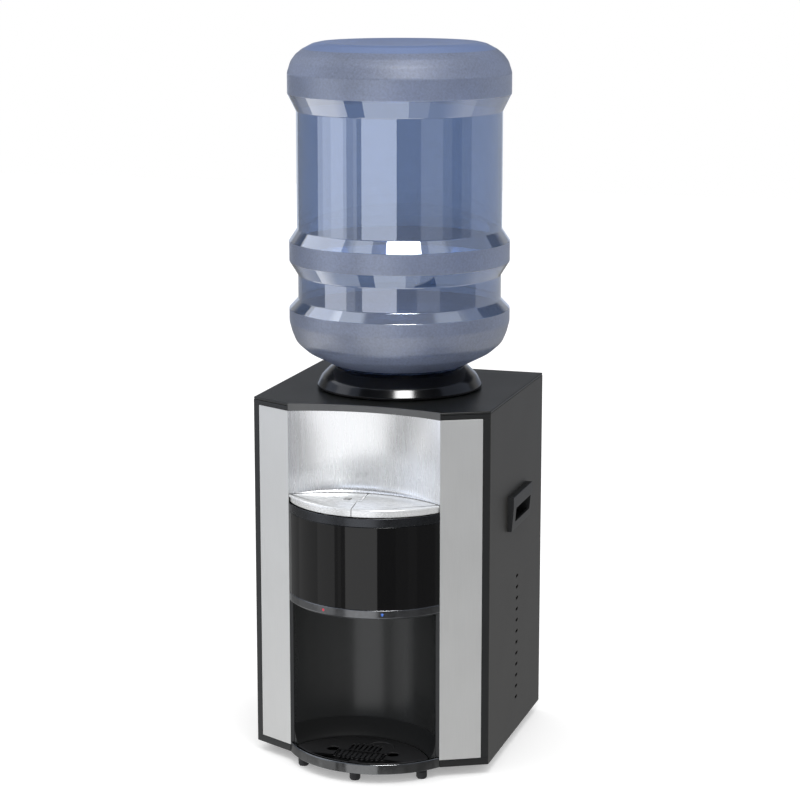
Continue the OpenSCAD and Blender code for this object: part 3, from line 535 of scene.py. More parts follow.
def build_base_pan():
    floor_t = 3 * MM
    rim_t = 4 * MM
    inset = 1.5 * MM
    plan = casing_plan(inset) + arc(nose_r - 1 * MM, nose_cy, nose_turn * 0.97, -1, 64)[::-1]
    slot_half = 4 * MM
    slots = [round_rect(x * MM - slot_half, y_back - 60 * MM, x * MM + slot_half, y_back - 20 * MM,
                        3.5 * MM) for x in range(-96, 97, 24)]
    floor = moved(slab(plan, slots, floor_t, 0.6 * MM), Matrix.Translation((0, 0, z_under)))
    rim = revolved(fillet([(nose_r - rim_t, z_under), (nose_r, z_under, 0.8 * MM),
                           (nose_r, z_rim, 1.4 * MM), (nose_r - rim_t, z_rim, 0.8 * MM)]),
                   nose_cy, -1, nose_turn)
    wall_t = 2 * MM
    outer = [p for p in casing_plan(inset) if p[1] > y_wing - 1 * MM]
    rear_t = y_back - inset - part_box("back_panel")[1].y - 0.1 * MM
    inner = [(x - math.copysign(wall_t, x), y if y < 0 else y - rear_t) for x, y in outer]
    walls = extruded(outer + inner[::-1], z_under, z_rim + 0.8 * MM)
    piece("base_pan_shell", joined([floor, walls]), "base_pan")
    piece("base_pan_rim", rim, "base_pan", mat=RIM_GREY)


def build_feet():
    lo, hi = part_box("feet")
    foot_r, bore_r, hub_r = 6.5 * MM, 2.4 * MM, 1.9 * MM
    neck_r = foot_r - 0.6 * MM
    profile = fillet([(bore_r, 0), (foot_r - 1 * MM, 0, 0.6 * MM), (foot_r, 2 * MM, 1 * MM),
                      (foot_r, hi.z - 3 * MM, 0.3 * MM), (neck_r, hi.z - 2.6 * MM, 0.2 * MM),
                      (neck_r, hi.z), (bore_r, hi.z), (bore_r, 4 * MM, 0.3 * MM)], steps=4)
    hub = fillet([(0, 2.6 * MM), (hub_r, 2.6 * MM, 0.5 * MM), (hub_r, 5 * MM), (0, 5 * MM)])
    front_x = 75 * MM
    places = [(0, lo.y + foot_r), (-front_x, y_open - 8 * MM), (front_x, y_open - 8 * MM),
              (lo.x + foot_r, hi.y - foot_r), (hi.x - foot_r, hi.y - foot_r)]
    meshes = [moved(revolved(shape, steps=40), Matrix.Translation((x, y, 0)))
              for x, y in places for shape in (profile, hub)]
    piece("rubber_feet", joined(meshes), "feet")


def build_side_panels():
    sheet_t = 1.2 * MM
    outline = round_rect(y_wing, z_under, y_back, z_cover, 0.8 * MM)
    vent_z, vent_pitch, vent_half = 55 * MM, 14.3 * MM, 1.75 * MM
    vents = [round_rect(40 * MM, z - vent_half, 51 * MM, z + vent_half, 1.74 * MM, 8)
             for z in (vent_z + i * vent_pitch for i in range(12))]
    lo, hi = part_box("right_handle_grip")
    hole = round_rect(lo.y + 4 * MM, lo.z + 4 * MM, hi.y - 4 * MM, hi.z - 2 * MM, 2 * MM)
    sheet = slab(outline, [hole, *vents], sheet_t, 0.35 * MM, 3)
    sheet = moved(sheet, Matrix.Translation((half_w - sheet_t, 0, 0)) @ ACROSS_X)
    flange_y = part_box("back_panel")[0].y - sheet_t
    flange_w = 14 * MM
    flange = block((half_w - flange_w, flange_y, z_rim + 1 * MM),
                   (half_w - 0.3 * MM, flange_y + sheet_t, z_cover - 27 * MM), 0.3 * MM)
    mirrored_pieces(joined([sheet, flange]), "side_skin", "side_panel")


def build_top_cover():
    seat_r = 78 * MM
    trim_t = 4.1 * MM
    depth = RECESS_TOP + trim_t
    radius = sagitta_radius(open_hw, depth)
    bay = arc(radius, y_open + depth - radius, math.asin(open_hw / radius), 1, 40)
    corner = 1.5 * MM
    plan = [(-half_w, y_wing, 2 * MM), (-half_w, y_back, corner), (half_w, y_back, corner),
            (half_w, y_wing, 2 * MM)]
    outline = [tuple(p) for p in fillet([bay[0], *plan, bay[-1]], closed=True)] + bay[-2:0:-1]
    sheet = moved(slab(outline, [circle(0, bottle_y, seat_r, 120)], z_top - z_cover, 1.2 * MM, 4),
                  Matrix.Translation((0, 0, z_cover)))
    skirt = block((-half_w + 1.4 * MM, y_back - 4 * MM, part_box("top_cover")[0].z),
                  (half_w - 1.4 * MM, y_back - 2 * MM, z_cover + 0.5 * MM), 0.4 * MM)
    piece("top_cover_skin", joined([sheet, skirt]), "top_cover")


def louvre(x, z, width):
    """A pressed louvre hood: a quarter round over a slot, open below, with closed ends."""
    height, out, steps, ends = 7 * MM, 3.2 * MM, 6, 8
    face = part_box("back_panel")[1].y
    bm = bmesh.new()
    rings = []
    for k in range(ends + 1):
        t = 2 * k / ends - 1
        taper = math.sqrt(max(0.0, 1 - abs(t) ** 6))
        rings.append([bm.verts.new((x + t * width / 2,
                                    face + 0.1 * MM + out * taper * math.sin(a),
                                    z + height * (1 - 0.2 * (1 - taper)) * math.cos(a)))
                      for a in [math.pi / 2 * i / steps for i in range(steps + 1)]])
    for here, on in zip(rings, rings[1:]):
        for i in range(steps):
            bm.faces.new((here[i], on[i], on[i + 1], here[i + 1]))
    obj = new_object("louvre", mesh_of(bm))
    mod = obj.modifiers.new("sheet", "SOLIDIFY")
    mod.thickness = 0.6 * MM
    mod.offset = 0
    return baked(obj)


def build_back_panel():
    lo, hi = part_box("back_panel")
    slot_w, slot_h, pitch_x, pitch_z = 52 * MM, 5 * MM, 64 * MM, 15 * MM
    slot_z = 202 * MM
    slots = [(col * pitch_x, slot_z + row * pitch_z) for row in range(14) for col in (-1, 0, 1)]
    holes = [round_rect(x - slot_w / 2, z, x + slot_w / 2, z + slot_h, 1.5 * MM, 3) for x, z in slots]
    cut_w, cut_h = 7.2 * MM, 11.2 * MM
    for node in ("heater_switch", "cooling_switch"):
        middle = middle_of(node)
        holes.append(round_rect(middle.x - cut_w, middle.z - cut_h, middle.x + cut_w,
                                middle.z + cut_h, 0.8 * MM, 3))
    for node, r in (("drain_cap", 6.4 * MM), ("cord_gland", 8 * MM)):
        middle = middle_of(node)
        holes.append(circle(middle.x, middle.z, r, 40))
    sheet = slab(round_rect(lo.x, lo.z, hi.x, hi.z, 2 * MM), holes, hi.y - lo.y, 0.3 * MM)
    sheet = moved(sheet, Matrix.Translation((0, hi.y, 0)) @ ACROSS_Y)
    hoods = [louvre(x, z + slot_h - 4.5 * MM, slot_w + 4 * MM) for x, z in slots]
    piece("back_panel_skin", joined([sheet, *hoods]), "back_panel")


def recess_arc(depth, steps):
    """Points of one level of the leaning recess, from left to right."""
    r = sagitta_radius(open_hw, depth)
    return arc(r, y_open + depth - r, math.asin(open_hw / r), 1, steps)


def lofted(levels, steps):
    """A closed shell through levels of (z, depth, back z, back depth) of the recess."""
    bm = bmesh.new()
    front = [[bm.verts.new((x, y, z)) for x, y in recess_arc(d, steps)] for z, d, _, _ in levels]
    back = [[bm.verts.new((x, y, z)) for x, y in recess_arc(d, steps)] for _, _, z, d in levels]
    for sheet in (front, back):
        for low, high in zip(sheet, sheet[1:]):
            for i in range(steps):
                bm.faces.new((low[i], low[i + 1], high[i + 1], high[i]))
    for row in (0, -1):
        for i in range(steps):
            bm.faces.new((front[row][i], front[row][i + 1], back[row][i + 1], back[row][i]))
    bmesh.ops.remove_doubles(bm, verts=bm.verts, dist=2e-5)
    bmesh.ops.dissolve_degenerate(bm, dist=1e-6, edges=bm.edges)
    return mesh_of(bm)


def build_front_frame():
    post_t = 5 * MM
    pocket = 1.15 * MM
    inner, edge_x = open_hw + 0.5 * MM, half_w - 8 * MM
    # one post: its face steps back under the silver panel and comes flush again beside it
    z_low, z_high = z_under + 8.7 * MM, z_top - 8.7 * MM
    step_x = edge_x + 0.3 * MM
    outer = [wing_point(half_w - 0.4 * MM), wing_point(half_w - 0.2 * MM, 0.8 * MM),
             wing_point(half_w - 1.6 * MM, post_t), wing_point(inner, post_t)]
    stepped = [wing_point(inner, pocket), wing_point(step_x, pocket), wing_point(step_x), *outer]
    full = [wing_point(inner), *outer]
    posts = [extruded(full, z_under, z_low), extruded(stepped, z_low, z_high),
             extruded(full, z_high, z_cover - 0.2 * MM)]
    parts = [rounded(mesh, 0.4 * MM, 2) for mesh in posts]
    post_w = 5 * MM
    parts.append(block((open_hw - post_w, y_open, z_rim + 0.2 * MM),
                       (open_hw + 0.4 * MM, y_open + 8 * MM, z_alcove), 0.8 * MM))
    right = joined(parts)
    left = mirrored_copy(right)
    # the leaning trim over the recess, with a round top edge, in a lighter grey than the black bezel: painted
    # light on the trim's face and top edge
    lean = (RECESS_HEAD - RECESS_TOP) / (z_top - z_trim)
    trim_t = 4 * MM
    round_r = 1.3 * MM
    levels = [(z_trim, RECESS_HEAD, z_trim, RECESS_HEAD + trim_t)]
    for k in range(7):
        a = math.pi / 2 * k / 6
        z = z_top - round_r * (1 - math.sin(a))
        d = RECESS_TOP + lean * (z_top - z)
        levels.append((z, d + round_r * (1 - math.cos(a)), z, d + trim_t))
    piece("front_bezel", joined([left, right]), "front_frame", smooth=40)
    piece("front_trim", lofted(levels, 48), "front_frame", smooth=40, mat=TRIM_LIT_GREY)


def build_wing_panels():
    lo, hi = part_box("right_wing_panel")
    sheet_t, gap = 0.95 * MM, 0.1 * MM
    inner, outer = lo.x + gap, half_w - 8.2 * MM
    plan = [wing_point(inner), wing_point(outer), wing_point(outer, sheet_t),
            wing_point(inner, sheet_t)]
    mesh = extruded(plan, lo.z + gap, hi.z - gap)
    mirrored_pieces(rounded(mesh, 0.3 * MM), "wing_skin", "wing_panel")


def build_recess_panel():
    cove_out, cove_up = 6.5 * MM, 15 * MM
    sheet_t = 1.4 * MM
    foot = z_paddle + 0.6 * MM
    lean = (RECESS_HEAD - RECESS_FOOT) / (z_trim - z_foot)
    steps = 12
    levels = []
    for k in range(steps + 1):
        a = math.pi / 2 * k / steps
        z = foot + cove_up * (1 - math.cos(a))
        d = RECESS_FOOT + lean * (z - z_foot) - cove_out * (1 - math.sin(a))
        levels.append((z, d, z, d + sheet_t))
    for k in range(1, steps + 1):
        z = foot + cove_up + (z_trim - foot - cove_up - 0.1 * MM) * k / steps
        d = RECESS_FOOT + lean * (z - z_foot)
        levels.append((z, d, z, d + sheet_t))
    piece("recess_skin", lofted(levels, 72), "recess_panel", smooth=50)


# ---- Rounded front ----

def build_front():
    reveal = 0.15 * MM
    panel_t = 3 * MM
    shy = 0.3 * MM
    panel = [(nose_r - panel_t, z_band + reveal), (nose_r - shy, z_band + reveal, 0.6 * MM),
             (nose_r - shy, z_panel - reveal, 0.6 * MM), (nose_r - panel_t, z_panel - reveal)]
    piece("glossy_front", revolved(fillet(panel), nose_cy, -1, nose_turn, 128), "front_panel")
    band = [(nose_r - panel_t, z_alcove), (nose_r, z_alcove, 1.1 * MM), (nose_r, z_band, 0.9 * MM),
            (nose_r - panel_t, z_band)]
    piece("accent_strip", revolved(fillet(band), nose_cy, -1, nose_turn, 128), "accent_band")
    lip = [(nose_r - 2 * MM, z_panel + reveal), (nose_r, z_panel + reveal, 0.4 * MM),
           (nose_r, z_lip, 1.5 * MM), (nose_r - 2 * MM, z_lip - 1.2 * MM, 0.3 * MM)]
    piece("lip_strip", revolved(fillet(lip), nose_cy, -1, nose_turn, 128), "lip_ring")


def build_markers():
    """A red drop and a blue drop, pressed into the accent band."""
    for node, name, tip in (("hot_marker", "hot_drop", 1), ("cold_marker", "cold_drop", -1)):
        lo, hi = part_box(node)
        x, z = (lo.x + hi.x) / 2, (lo.z + hi.z) / 2
        turn = math.asin(x / nose_r)
        r = (hi.z - lo.z) / 2
        if tip > 0:
            outline = [(-0.72 * r, -0.3 * r, 0.7 * r), (0, -r, 0.9 * r), (0.72 * r, -0.3 * r, 0.7 * r),
                       (0.72 * r, 0.35 * r, 0.5 * r), (0, r, 0.5 * r), (-0.72 * r, 0.35 * r, 0.5 * r)]
        else:
            outline = [(-r, 0.75 * r, 0.5 * r), (-0.25 * r, -0.9 * r, 0.3 * r),
                       (0.25 * r, -0.9 * r, 0.3 * r), (r, 0.75 * r, 0.5 * r)]
        mesh = slab([tuple(p) for p in fillet(outline)], (), 0.4 * MM, 0.15 * MM)
        place = Matrix.Translation((nose_r * math.sin(turn), nose_cy - nose_r * math.cos(turn), z))
        stand = Matrix.Rotation(turn, 4, "Z") @ Matrix.Rotation(math.pi / 2, 4, "X")
        piece(name, moved(mesh, place @ stand @ Matrix.Translation((0, 0, -0.3 * MM))), node)


def build_alcove():
    z_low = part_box("alcove_liner")[0].z
    half = 90 * MM
    depth = 54 * MM
    wall = 2 * MM
    r = sagitta_radius(half, depth)
    cy = y_open + depth - r
    cove_out, cove_up, steps = 8 * MM, 24 * MM, 12
    cove = [(r - cove_out * (1 - math.cos(math.pi / 2 * k / steps)),
             z_rim + cove_up * (1 - math.sin(math.pi / 2 * k / steps))) for k in range(steps + 1)]
    profile = [(r + wall, z_low), (r + wall, z_alcove - 2 * wall), (r, z_alcove - 2 * wall), *cove,
               (r - cove_out, z_low)]
    liner = revolved(profile, cy, 1, math.asin((open_hw - 3 * MM) / (r + wall)), 128)
    front = arc(nose_r - 3.2 * MM, nose_cy, nose_turn * 0.93, -1, 64)
    rear = arc(r + wall, cy, math.asin(half / (r + wall)) * 0.98, 1, 64)
    holes = []
    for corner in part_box("spouts"):
        x = corner.x - math.copysign(7 * MM, corner.x)
        holes.append(circle(x, y_open - 7 * MM, 7.3 * MM, 48))
    ceiling = moved(slab(front + rear[::-1], holes, wall, 0.4 * MM),
                    Matrix.Translation((0, 0, z_alcove - wall)))
    mesh = joined([liner, ceiling])
    piece("alcove_shell", mesh, "alcove_liner", smooth=40, mat=ALCOVE_BLACK)
    # the cove over the tray is matt, and a darker black than the wall above it: painted shade at the foot of the
    # alcove
    mesh.materials.append(ALCOVE_SHADED_MATT)
    for face in mesh.polygons:
        face.material_index = int(face.center.z < z_rim + cove_up)


# ---- Grips ----

def build_grips():
    """A frame round a finger mouth, leaning in towards its foot, with a pocket behind."""
    lo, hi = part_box("right_handle_grip")
    lean = 2.5 * MM
    tall = hi.z - lo.z
    side = fillet([(half_w, lo.z), (hi.x - lean, lo.z, 1.2 * MM), (hi.x, lo.z + tall - 14 * MM, 30 * MM),
                   (hi.x, hi.z, 1 * MM), (half_w, hi.z)], steps=4)
    hood = moved(extruded([(x, z) for x, z in side], -hi.y, -lo.y), ACROSS_Y)
    pocket = block((lo.x, lo.y + 5 * MM, lo.z + 5 * MM), (half_w + 1 * MM, hi.y - 5 * MM, hi.z - 3 * MM),
                   1.5 * MM)
    solid = combined(hood, [pocket], "UNION")
    fingers = block((lo.x + 2 * MM, lo.y + 7 * MM, lo.z + 7 * MM),
                    (half_w + 3 * MM, hi.y - 7 * MM, hi.z - 5 * MM), 2 * MM)
    mouth = block((half_w, lo.y + 13 * MM, lo.z + 10 * MM),
                  (hi.x + 1 * MM, hi.y - 7 * MM, lo.z + 27.5 * MM), 1.2 * MM)
    mirrored_pieces(combined(solid, [fingers, mouth]), "grip_hood", "handle_grip", 0.4 * MM)


# ---- Paddles ----

PADDLE_T = 2.5 * MM
PADDLE_SHY = 2.65 * MM
jog_y = y_open - 8 * MM
skirt_r = nose_r - PADDLE_SHY
paddle_half = open_hw - 0.8 * MM
paddle_out = nose_out - PADDLE_SHY
paddle_r = sagitta_radius(paddle_half, paddle_out - 0.3 * MM)
paddle_cy = y_open - paddle_out + paddle_r


def split_x(y, side):
    """The joint line between the paddles at one depth, in front of and behind its jog."""
    shift = side * 0.5 * MM
    if y < jog_y - side * 0.7 * MM:
        t = (y - (y_open - 60 * MM)) / (jog_y - (y_open - 60 * MM))
        return (2 - 8 * t) * MM + shift
    t = (y - jog_y) / (y_open + 45 * MM - jog_y)
    return (-1 - 5 * t) * MM + shift


def on_arc_at(side, r, cy, facing):
    """The x at which the joint line meets an arc."""
    y = cy + facing * r
    for _ in range(8):
        y = cy + facing * math.sqrt(r ** 2 - split_x(y, side) ** 2)
    return split_x(y, side)


def paddle_mesh(side):
    rear_depth = 33 * MM
    rear_r = sagitta_radius(open_hw, rear_depth)
    rear_cy = y_open + rear_depth - rear_r
    jog = side * 0.7 * MM
    front_x = on_arc_at(side, paddle_r, paddle_cy, -1)
    back_x = on_arc_at(side, rear_r, rear_cy, 1)
    a0, a1 = math.asin(front_x / paddle_r), side * math.asin(paddle_half / paddle_r)
    b0, b1 = side * math.asin(paddle_half / rear_r), math.asin(back_x / rear_r)
    steps = 72
    nose = arc_points(paddle_r, paddle_cy, -1, spaced(a0, a1, steps))
    rear = arc_points(rear_r, rear_cy, 1, spaced(b0, b1, steps))
    line = [(split_x(jog_y + 1 * MM, side) + 0.05 * MM, jog_y - jog),
            (split_x(jog_y - 1 * MM, side), jog_y - jog)]
    outline = nose + rear + line
    bm = bmesh.new()
    low = [bm.verts.new((x, y, z_paddle - PADDLE_T)) for x, y in outline]
    high = [bm.verts.new((x, y, z_paddle)) for x, y in outline]
    bm.faces.new(low)
    top = bm.faces.new(high)
    n = len(outline)
    for i in range(n):
        bm.faces.new((low[i], low[(i + 1) % n], high[(i + 1) % n], high[i]))
    weight = bm.edges.layers.float.new("bevel_weight_edge")
    for edge in top.edges:
        front = all(math.hypot(v.co.x, v.co.y - paddle_cy) > paddle_r - 1e-6 for v in edge.verts)
        edge[weight] = 1.0 if front and edge.calc_length() < 4 * MM else 0.2
    bmesh.ops.recalc_face_normals(bm, faces=bm.faces)
    plate = rounded(finished(bm), 2.2 * MM, 6, weights=True)
    # the skirt that closes the front under the plate
    skirt_t = 2 * MM
    z_high = z_paddle - PADDLE_T + 0.05 * MM
    profile = fillet([(skirt_r - skirt_t, z_lip + 0.3 * MM), (skirt_r, z_lip + 0.3 * MM, 0.3 * MM),
                      (skirt_r, z_high), (skirt_r - skirt_t, z_high)])
    a0, a1 = math.asin(front_x / skirt_r), side * math.asin((paddle_half - 0.4 * MM) / skirt_r)
    skirt = swept(profile, spaced(a0, a1, steps), nose_cy)
    # hinge knuckles on their arms
    pin = next(j for j in frame["joints"] if j["name"] == "cold_paddle_press")["pos_m"]
    knuckle_r, bore_r, width = 4.2 * MM, 2.05 * MM, 11 * MM
    ring = fillet([(bore_r, 0), (knuckle_r, 0, 0.4 * MM), (knuckle_r, width, 0.4 * MM), (bore_r, width)])
    parts = [plate, skirt]
    for x in (9 * MM, 28 * MM):
        start = x if side > 0 else -x - width
        turn = Matrix.Translation((start, pin[1], pin[2])) @ Matrix.Rotation(math.pi / 2, 4, "Y")
        parts.append(moved(revolved(ring, steps=40), turn))
        parts.append(block((start, pin[1] - 3.9 * MM, pin[2] + 2.4 * MM),
                           (start + width, pin[1] + 1.9 * MM, z_paddle - 1 * MM), 0.3 * MM))
    return joined(parts)


def build_paddles():
    piece("cold_paddle_skin", paddle_mesh(1), "cold_paddle", smooth=40)
    lo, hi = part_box("safety_slide")
    x0, y0 = lo.x + 1.5 * MM, lo.y + 1.5 * MM
    opening = block((x0, y0, z_paddle - 10 * MM),
                    (x0 + 33 * MM, hi.y - 1.5 * MM, z_paddle + 10 * MM), 1 * MM)
    piece("hot_paddle_skin", combined(paddle_mesh(-1), [opening]), "hot_paddle", smooth=40)
    button = block((x0 + 0.3 * MM, y0 + 0.3 * MM, z_paddle - PADDLE_T - 1 * MM),
                   (x0 + 24.3 * MM, hi.y - 1.8 * MM, z_paddle + 0.4 * MM), 0.9 * MM, 4)
    keeper = block(lo, (hi.x, hi.y, lo.z + 2 * MM), 0.4 * MM)
    ribs = [block((x0 + 7 * MM + i * 3 * MM, y0 + 2.5 * MM, z_paddle + 0.1 * MM),
                  (x0 + 8.2 * MM + i * 3 * MM, y0 + 9.5 * MM, z_paddle + 0.9 * MM), 0.35 * MM, 3)
            for i in range(4)]
    piece("safety_slide_button", joined([button, keeper, *ribs]), "safety_slide")


# ---- Drip tray ----

def tray_outline(inset):
    lo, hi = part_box("drip_tray")
    front_r = nose_cy - lo.y
    back_r = 93 * MM
    back_cy = hi.y - back_r
    half = hi.x - inset
    front_turn = math.asin(half / (front_r - inset))
    back_turn = math.asin(half / (back_r - inset))
    front = arc(front_r - inset, nose_cy, front_turn, -1, 64)
    rear = arc(back_r - inset, back_cy, back_turn, 1, 64)
    return front + rear[::-1]


def build_tray():
    lo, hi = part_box("drip_tray")
    solid = extruded(tray_outline(0), lo.z, hi.z)
    hollow = extruded(tray_outline(2 * MM), lo.z + 1.5 * MM, hi.z + 5 * MM)
    piece("drip_tray_dish", combined(solid, [hollow]), "drip_tray", edge=0.5 * MM)
    g_lo, g_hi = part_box("drip_grille")
    plate_t = 2 * MM
    spout_x = 38 * MM
    spout_y = y_open - 5 * MM
    holes = [circle(s * spout_x, spout_y, 7.5 * MM, 40) for s in (-1, 1)]
    slot_half = 1.4 * MM
    front_row = [(i, y_open - 30 * MM + abs(i) * MM, 18 * MM) for i in range(-5, 6)]
    rear_row = [(i, y_open - 4 * MM, (26 - abs(i) * 2) * MM) for i in range(-3, 4)]
    for i, y, length in front_row + rear_row:
        x = i * 6 * MM
        holes.append(round_rect(x - slot_half, y, x + slot_half, y + length, 1.3 * MM, 4))
    holes.append(round_rect(-5 * MM, y_open - 46 * MM, 5 * MM, y_open - 39 * MM, 2.4 * MM, 6))
    plate = moved(slab(tray_outline(0.4 * MM), holes, plate_t, 0.5 * MM, 3),
                  Matrix.Translation((0, 0, g_hi.z - plate_t)))
    rib = [(-1.3, 16.7), (3.5, 25.7), (9.4, 31.3), (19.8, 30.9), (27, 27), (34, 14)]
    parts = [plate, rod([(x * MM, y_open + y * MM, g_hi.z - 0.2 * MM) for x, y in rib], 1 * MM)]
    lugs = [block((x * MM - 4 * MM, y_open + 18 * MM, g_lo.z),
                  (x * MM + 4 * MM, y_open + 21 * MM, g_hi.z - 1.5 * MM), 0.4 * MM)
            for x in (-40, 40)]
    piece("drip_grille_plate", joined([*parts, *lugs]), "drip_grille")


# ---- Bottle and its seat ----

def build_collar():
    lo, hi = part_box("bottle_collar")
    outside = from_mm(hi.x, lo.z, [(-7.3, 0), (-4.6, 0.9, 1), (0, 1.4, 1), (0, 4.2, 1.4),
                                   (-5.8, 14.5, 20), (-14, 22.5, 50)])
    top = from_mm(hi.x, hi.z, [(-21.2, 0, 2), (-23.8, 0, 0.8)])
    profile = fillet([*outside, *top, (top[-1][0], lo.z)], steps=8)
    piece("collar_ring", revolved(profile, bottle_y, steps=160), "bottle_collar", mat=COLLAR_GLOSS)


def bottle_profile():
    """Points (radius, z) from the open neck up to the flat base, with round corners."""
    neck = from_mm(0, z_under, [(27.5, 368, 0.5), (27.5, 424, 5), (31, 434, 6), (40, 444.5, 8),
                                (60, 455.5, 30), (85, 466.6, 40), (112.8, 481, 30),
                                (126.5, 493, 22), (131.5, 505.5, 18)])
    bands = from_mm(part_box("water_bottle")[1].x, z_under, [
        (-0.5, 518, 20), (-0.5, 534, 1.5), (-11.5, 545.5, 2), (-11.5, 575, 3.5), (-0.9, 592, 2.5),
        (-0.9, 616.5, 1.5), (-10.5, 631, 2), (-10.5, 773, 4), (0, 794, 3), (0, 819, 14)])
    base = from_mm(0, z_under, [(131, 832.5, 20), (125, 840.5, 14), (117.5, 846.5, 12),
                                (105, 853, 10), (96, 855, 4), (60, 853, 60), (0, 851.5, 0)])
    return fillet(neck + bands + base, closed=False, steps=8)


# Upper limits of the bottle's zones above the casing's foot, in mm, and the finish below each:
# 0 clear, 1 frosted, 2 frosted and matt, 3 the base
BOTTLE_ZONES = ((462, 0), (492, 2), (534, 1), (591, 0), (616.5, 1), (793, 0), (818, 1), (849, 2),
                (900, 3))


def build_bottle():
    obj = new_object("bottle", revolved(bottle_profile(), bottle_y, steps=192, closed=False))
    mod = obj.modifiers.new("wall", "SOLIDIFY")
    mod.thickness = 1.8 * MM
    mod.offset = -1
    mesh = baked(obj)
    piece("bottle_shell", mesh, "water_bottle", smooth=60)
    for finish in (FROSTED, FROSTED_TOP, BOTTLE_BASE):
        mesh.materials.append(finish)
    for face in mesh.polygons:
        level = (face.center.z - z_under) / MM
        face.material_index = next(finish for limit, finish in BOTTLE_ZONES if level < limit)


def build_springs():
    """Coil springs with closed ends, one in each valve."""
    wire_r = 0.75 * MM
    turns, steps = 7, 24
    for side in ("cold", "hot"):
        lo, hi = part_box(f"{side}_valve_spring")
        middle = (lo + hi) / 2
        coil_r = (hi.x - lo.x) / 2 - wire_r - 0.05 * MM
        end_rise = 2.1 * wire_r
        low, high = lo.z + wire_r, hi.z - wire_r
        points = []
        for k in range(turns * steps + 1):
            t = k / steps
            inner = low + end_rise + (high - low - 2 * end_rise) * (t - 1) / (turns - 2)
            z = min(max(inner, low + end_rise * t), high - end_rise * (turns - t))
            a = 2 * math.pi * t
            points.append((middle.x + coil_r * math.cos(a), middle.y + coil_r * math.sin(a), z))
        spring = piece(f"{side}_valve_coil", rod(points, wire_r), f"{side}_valve_spring")
        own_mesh(spring)


# ---- CAD nodes that keep their own shape ----

def dress_cad_nodes():
    for node, obj in frame["nodes"].items():
        if obj.hide_render:
            continue
        obj.data.materials.clear()
        obj.data.materials.append(MATERIALS[SLOT_OF[node]])
        weld = obj.modifiers.new("weld", "WELD")
        weld.merge_threshold = 1e-6
        bevel(obj, 0.25 * MM, 2, 40)


# ---- Studio ----

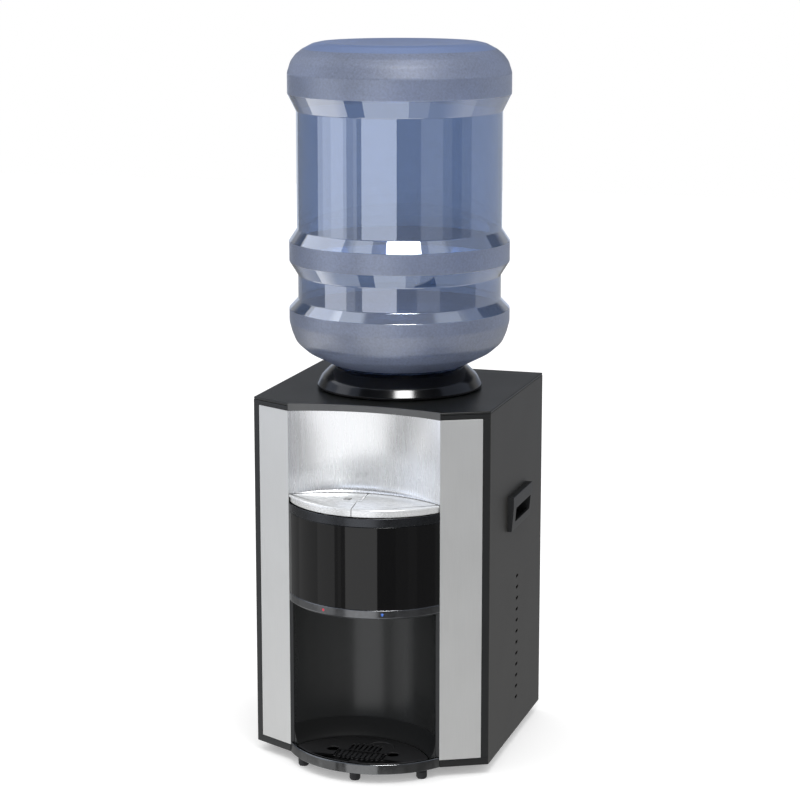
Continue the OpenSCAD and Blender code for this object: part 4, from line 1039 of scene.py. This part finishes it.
def build_world():
    """White to the camera; soft white on matt surfaces; a studio of tall panels in reflections."""
    world = bpy.data.worlds.new("studio")
    bpy.context.scene.world = world
    world.use_nodes = True
    world.cycles.sampling_method = "NONE"
    tree = world.node_tree
    tree.nodes.clear()
    nodes = Nodes(tree)
    way = nodes.add("ShaderNodeTexCoord").outputs["Generated"]
    axes = nodes.add("ShaderNodeSeparateXYZ", {"Vector": way})
    x, y, z = (axes.outputs[i] for i in range(3))
    # turn round the object, 0 behind it through 0.5 straight ahead of its front to 1
    turn = nodes.math("ARCTAN2", x, nodes.math("MULTIPLY", y, -1))
    turn = nodes.math("ADD", nodes.math("DIVIDE", turn, 2 * math.pi), 0.5)
    # height, 0 straight down to 1 straight up
    up = nodes.add("ShaderNodeMapRange", {"Value": z},
                   {"From Min": -1.0, "From Max": 1.0}).outputs["Result"]

    def at(degrees):
        return 0.5 + degrees / 360

    peak = 1.6

    def ring(panels, tint=(1, 1, 1)):
        stops = [(at(a), tuple(v * t / peak for t in tint)) for a, v in panels]
        return nodes.ramp(turn, stops, "CONSTANT")

    def gate(low, high):
        return nodes.ramp(up, [(low, (0,) * 3), (high, (1,) * 3)])

    def blend(a, b, fac):
        return nodes.add("ShaderNodeMix", {6: a, 7: b, 0: fac}, data_type="RGBA").outputs[2]

    # rings of panels from the lowest up; each lists (degrees from the front, brightness)
    below = ring([(-180, 0.5), (-110, 1.4), (-60, 0.12), (-36, 1.2), (30, 1.0), (46, 0.3),
                  (75, 0.7), (120, 0.5)])
    deep = ring([(-180, 0.12), (-110, 0.6), (-60, 0.12), (-36, 1.0), (30, 0.5), (60, 0.3)],
                (0.98, 1.03, 1.1))
    low = ring([(-180, 0.2), (-130, 0.3), (-100, 0.42), (-66, 0.6), (-40, 0.24), (-36, 0.32),
                (-31, 0.20), (-25.5, 0.95), (14, 0.11), (36, 0.15), (52, 0.18), (62, 0.13),
                (88, 0.2), (110, 0.4)])
    level = ring([(-180, 0.3), (-130, 0.2), (-76, 1.2), (-46, 0.5), (-34, 0.25), (-25.5, 1.2),
                  (14, 0.16), (36, 0.32), (62, 0.15), (112, 0.4)], (0.98, 1.03, 1.16))
    mid = ring([(-180, 0.6), (-140, 0.2), (-87, 0.75), (-78, 1.0), (-66, 1.2), (-48, 0.9),
                (-44, 0.42), (-36, 0.55), (-31, 0.25), (-25.5, 1.2), (14, 0.16), (40, 0.35),
                (66, 0.2), (76, 0.1), (90, 0.2), (104, 0.36)], (0.97, 1.06, 1.25))
    upper = ring([(-180, 0.35), (-130, 0.2), (-86, 1.1), (-25, 0.3), (60, 0.2), (112, 0.4)])
    dark = ring([(-180, 0.05), (-115, 0.5), (-52, 0.05), (88, 0.36), (140, 0.05)], (0.94, 1.06, 1.35))
    high = ring([(-180, 0.4), (-110, 1.15), (-25, 0.45), (60, 0.8), (120, 0.5)], (0.97, 1.05, 1.2))
    top = nodes.add("ShaderNodeRGB").outputs[0]
    top.default_value = (0.2, 0.2, 0.2, 1)
    mixed = deep
    for zone, start, end in ((below, 0.11, 0.16), (low, 0.27, 0.33), (level, 0.39, 0.41),
                             (mid, 0.425, 0.43), (upper, 0.545, 0.565), (dark, 0.6, 0.66),
                             (high, 0.87, 0.89), (top, 0.955, 0.965)):
        mixed = blend(mixed, zone, gate(start, end))
    path = nodes.add("ShaderNodeLightPath").outputs
    glossy = nodes.add("ShaderNodeBackground", {"Color": mixed}, {"Strength": peak}).outputs[0]
    matt, white, through = (
        nodes.add("ShaderNodeBackground", None, {"Color": (1, 1, 1, 1), "Strength": s}).outputs[0]
        for s in (0.95, 1.0, 0.55))

    def choose(ray, no, yes):
        return nodes.add("ShaderNodeMixShader", {0: path[ray], 1: no, 2: yes}).outputs[0]

    bent = choose("Is Transmission Ray", glossy, through)
    seen = choose("Is Camera Ray", choose("Is Diffuse Ray", bent, matt), white)
    nodes.add("ShaderNodeOutputWorld", {"Surface": seen})


def area_light(name, azimuth, elevation, width, height, radiance, matt=True):
    """A softbox aimed at the middle of the object; without matt it shows only in shiny faces."""
    distance = 2.6
    a, e = math.radians(azimuth), math.radians(elevation)
    aim = Vector((0, 0, 0.45))
    way = Vector((math.sin(a) * math.cos(e), -math.cos(a) * math.cos(e), math.sin(e)))
    data = bpy.data.lights.new(name, "AREA")
    data.shape = "RECTANGLE" if matt else "ELLIPSE"
    data.size, data.size_y = width, height
    data.energy = radiance * math.pi * width * height
    light = bpy.data.objects.new(name, data)
    bpy.context.scene.collection.objects.link(light)
    light.location = aim + way * distance
    light.rotation_euler = (-way).to_track_quat("-Z", "Y").to_euler()
    light.visible_camera = False
    light.visible_diffuse = matt


def build_studio():
    build_world()
    area_light("key", 24, 62, 1.2, 0.6, 7.0)
    area_light("fill", -92, 40, 2.0, 1.4, 0.8)
    area_light("spark", 25, 47, 1.0, 0.46, 26.0, matt=False)
    bm = bmesh.new()
    bmesh.ops.create_grid(bm, x_segments=4, y_segments=4, size=6.0)
    floor = new_object("studio_floor", mesh_of(bm))
    m = bpy.data.materials.new("floor_paper")
    m.use_nodes = True
    bsdf = m.node_tree.nodes["Principled BSDF"]
    bsdf.inputs["Base Color"].default_value = (0.86, 0.86, 0.86, 1)
    bsdf.inputs["Roughness"].default_value = 0.9
    bsdf.inputs["Specular IOR Level"].default_value = 0.0
    bsdf.inputs["Emission Color"].default_value = (1, 1, 1, 1)
    bsdf.inputs["Emission Strength"].default_value = 0.3
    floor.data.materials.append(m)
    floor.visible_glossy = False
    floor.visible_transmission = False
    floor.visible_shadow = False


def build_camera():
    """The photo's camera, as fitted to the edges of the casing and the bottle."""
    data = bpy.data.cameras.new("camera")
    data.lens = 105.5
    data.sensor_width = 36
    camera = bpy.data.objects.new("camera", data)
    bpy.context.scene.collection.objects.link(camera)
    camera.location = (0.8413, -2.6808, 1.0065)
    camera.rotation_euler = (math.radians(78.494), 0, math.radians(17.235))
    bpy.context.scene.camera = camera


build_camera()
build_base_pan()
build_feet()
build_side_panels()
build_top_cover()
build_back_panel()
build_front_frame()
build_wing_panels()
build_recess_panel()
build_front()
build_markers()
build_alcove()
build_grips()
build_paddles()
build_tray()
build_collar()
build_bottle()
build_springs()
dress_cad_nodes()
build_studio()
bpy.context.scene.view_settings.view_transform = "Standard"
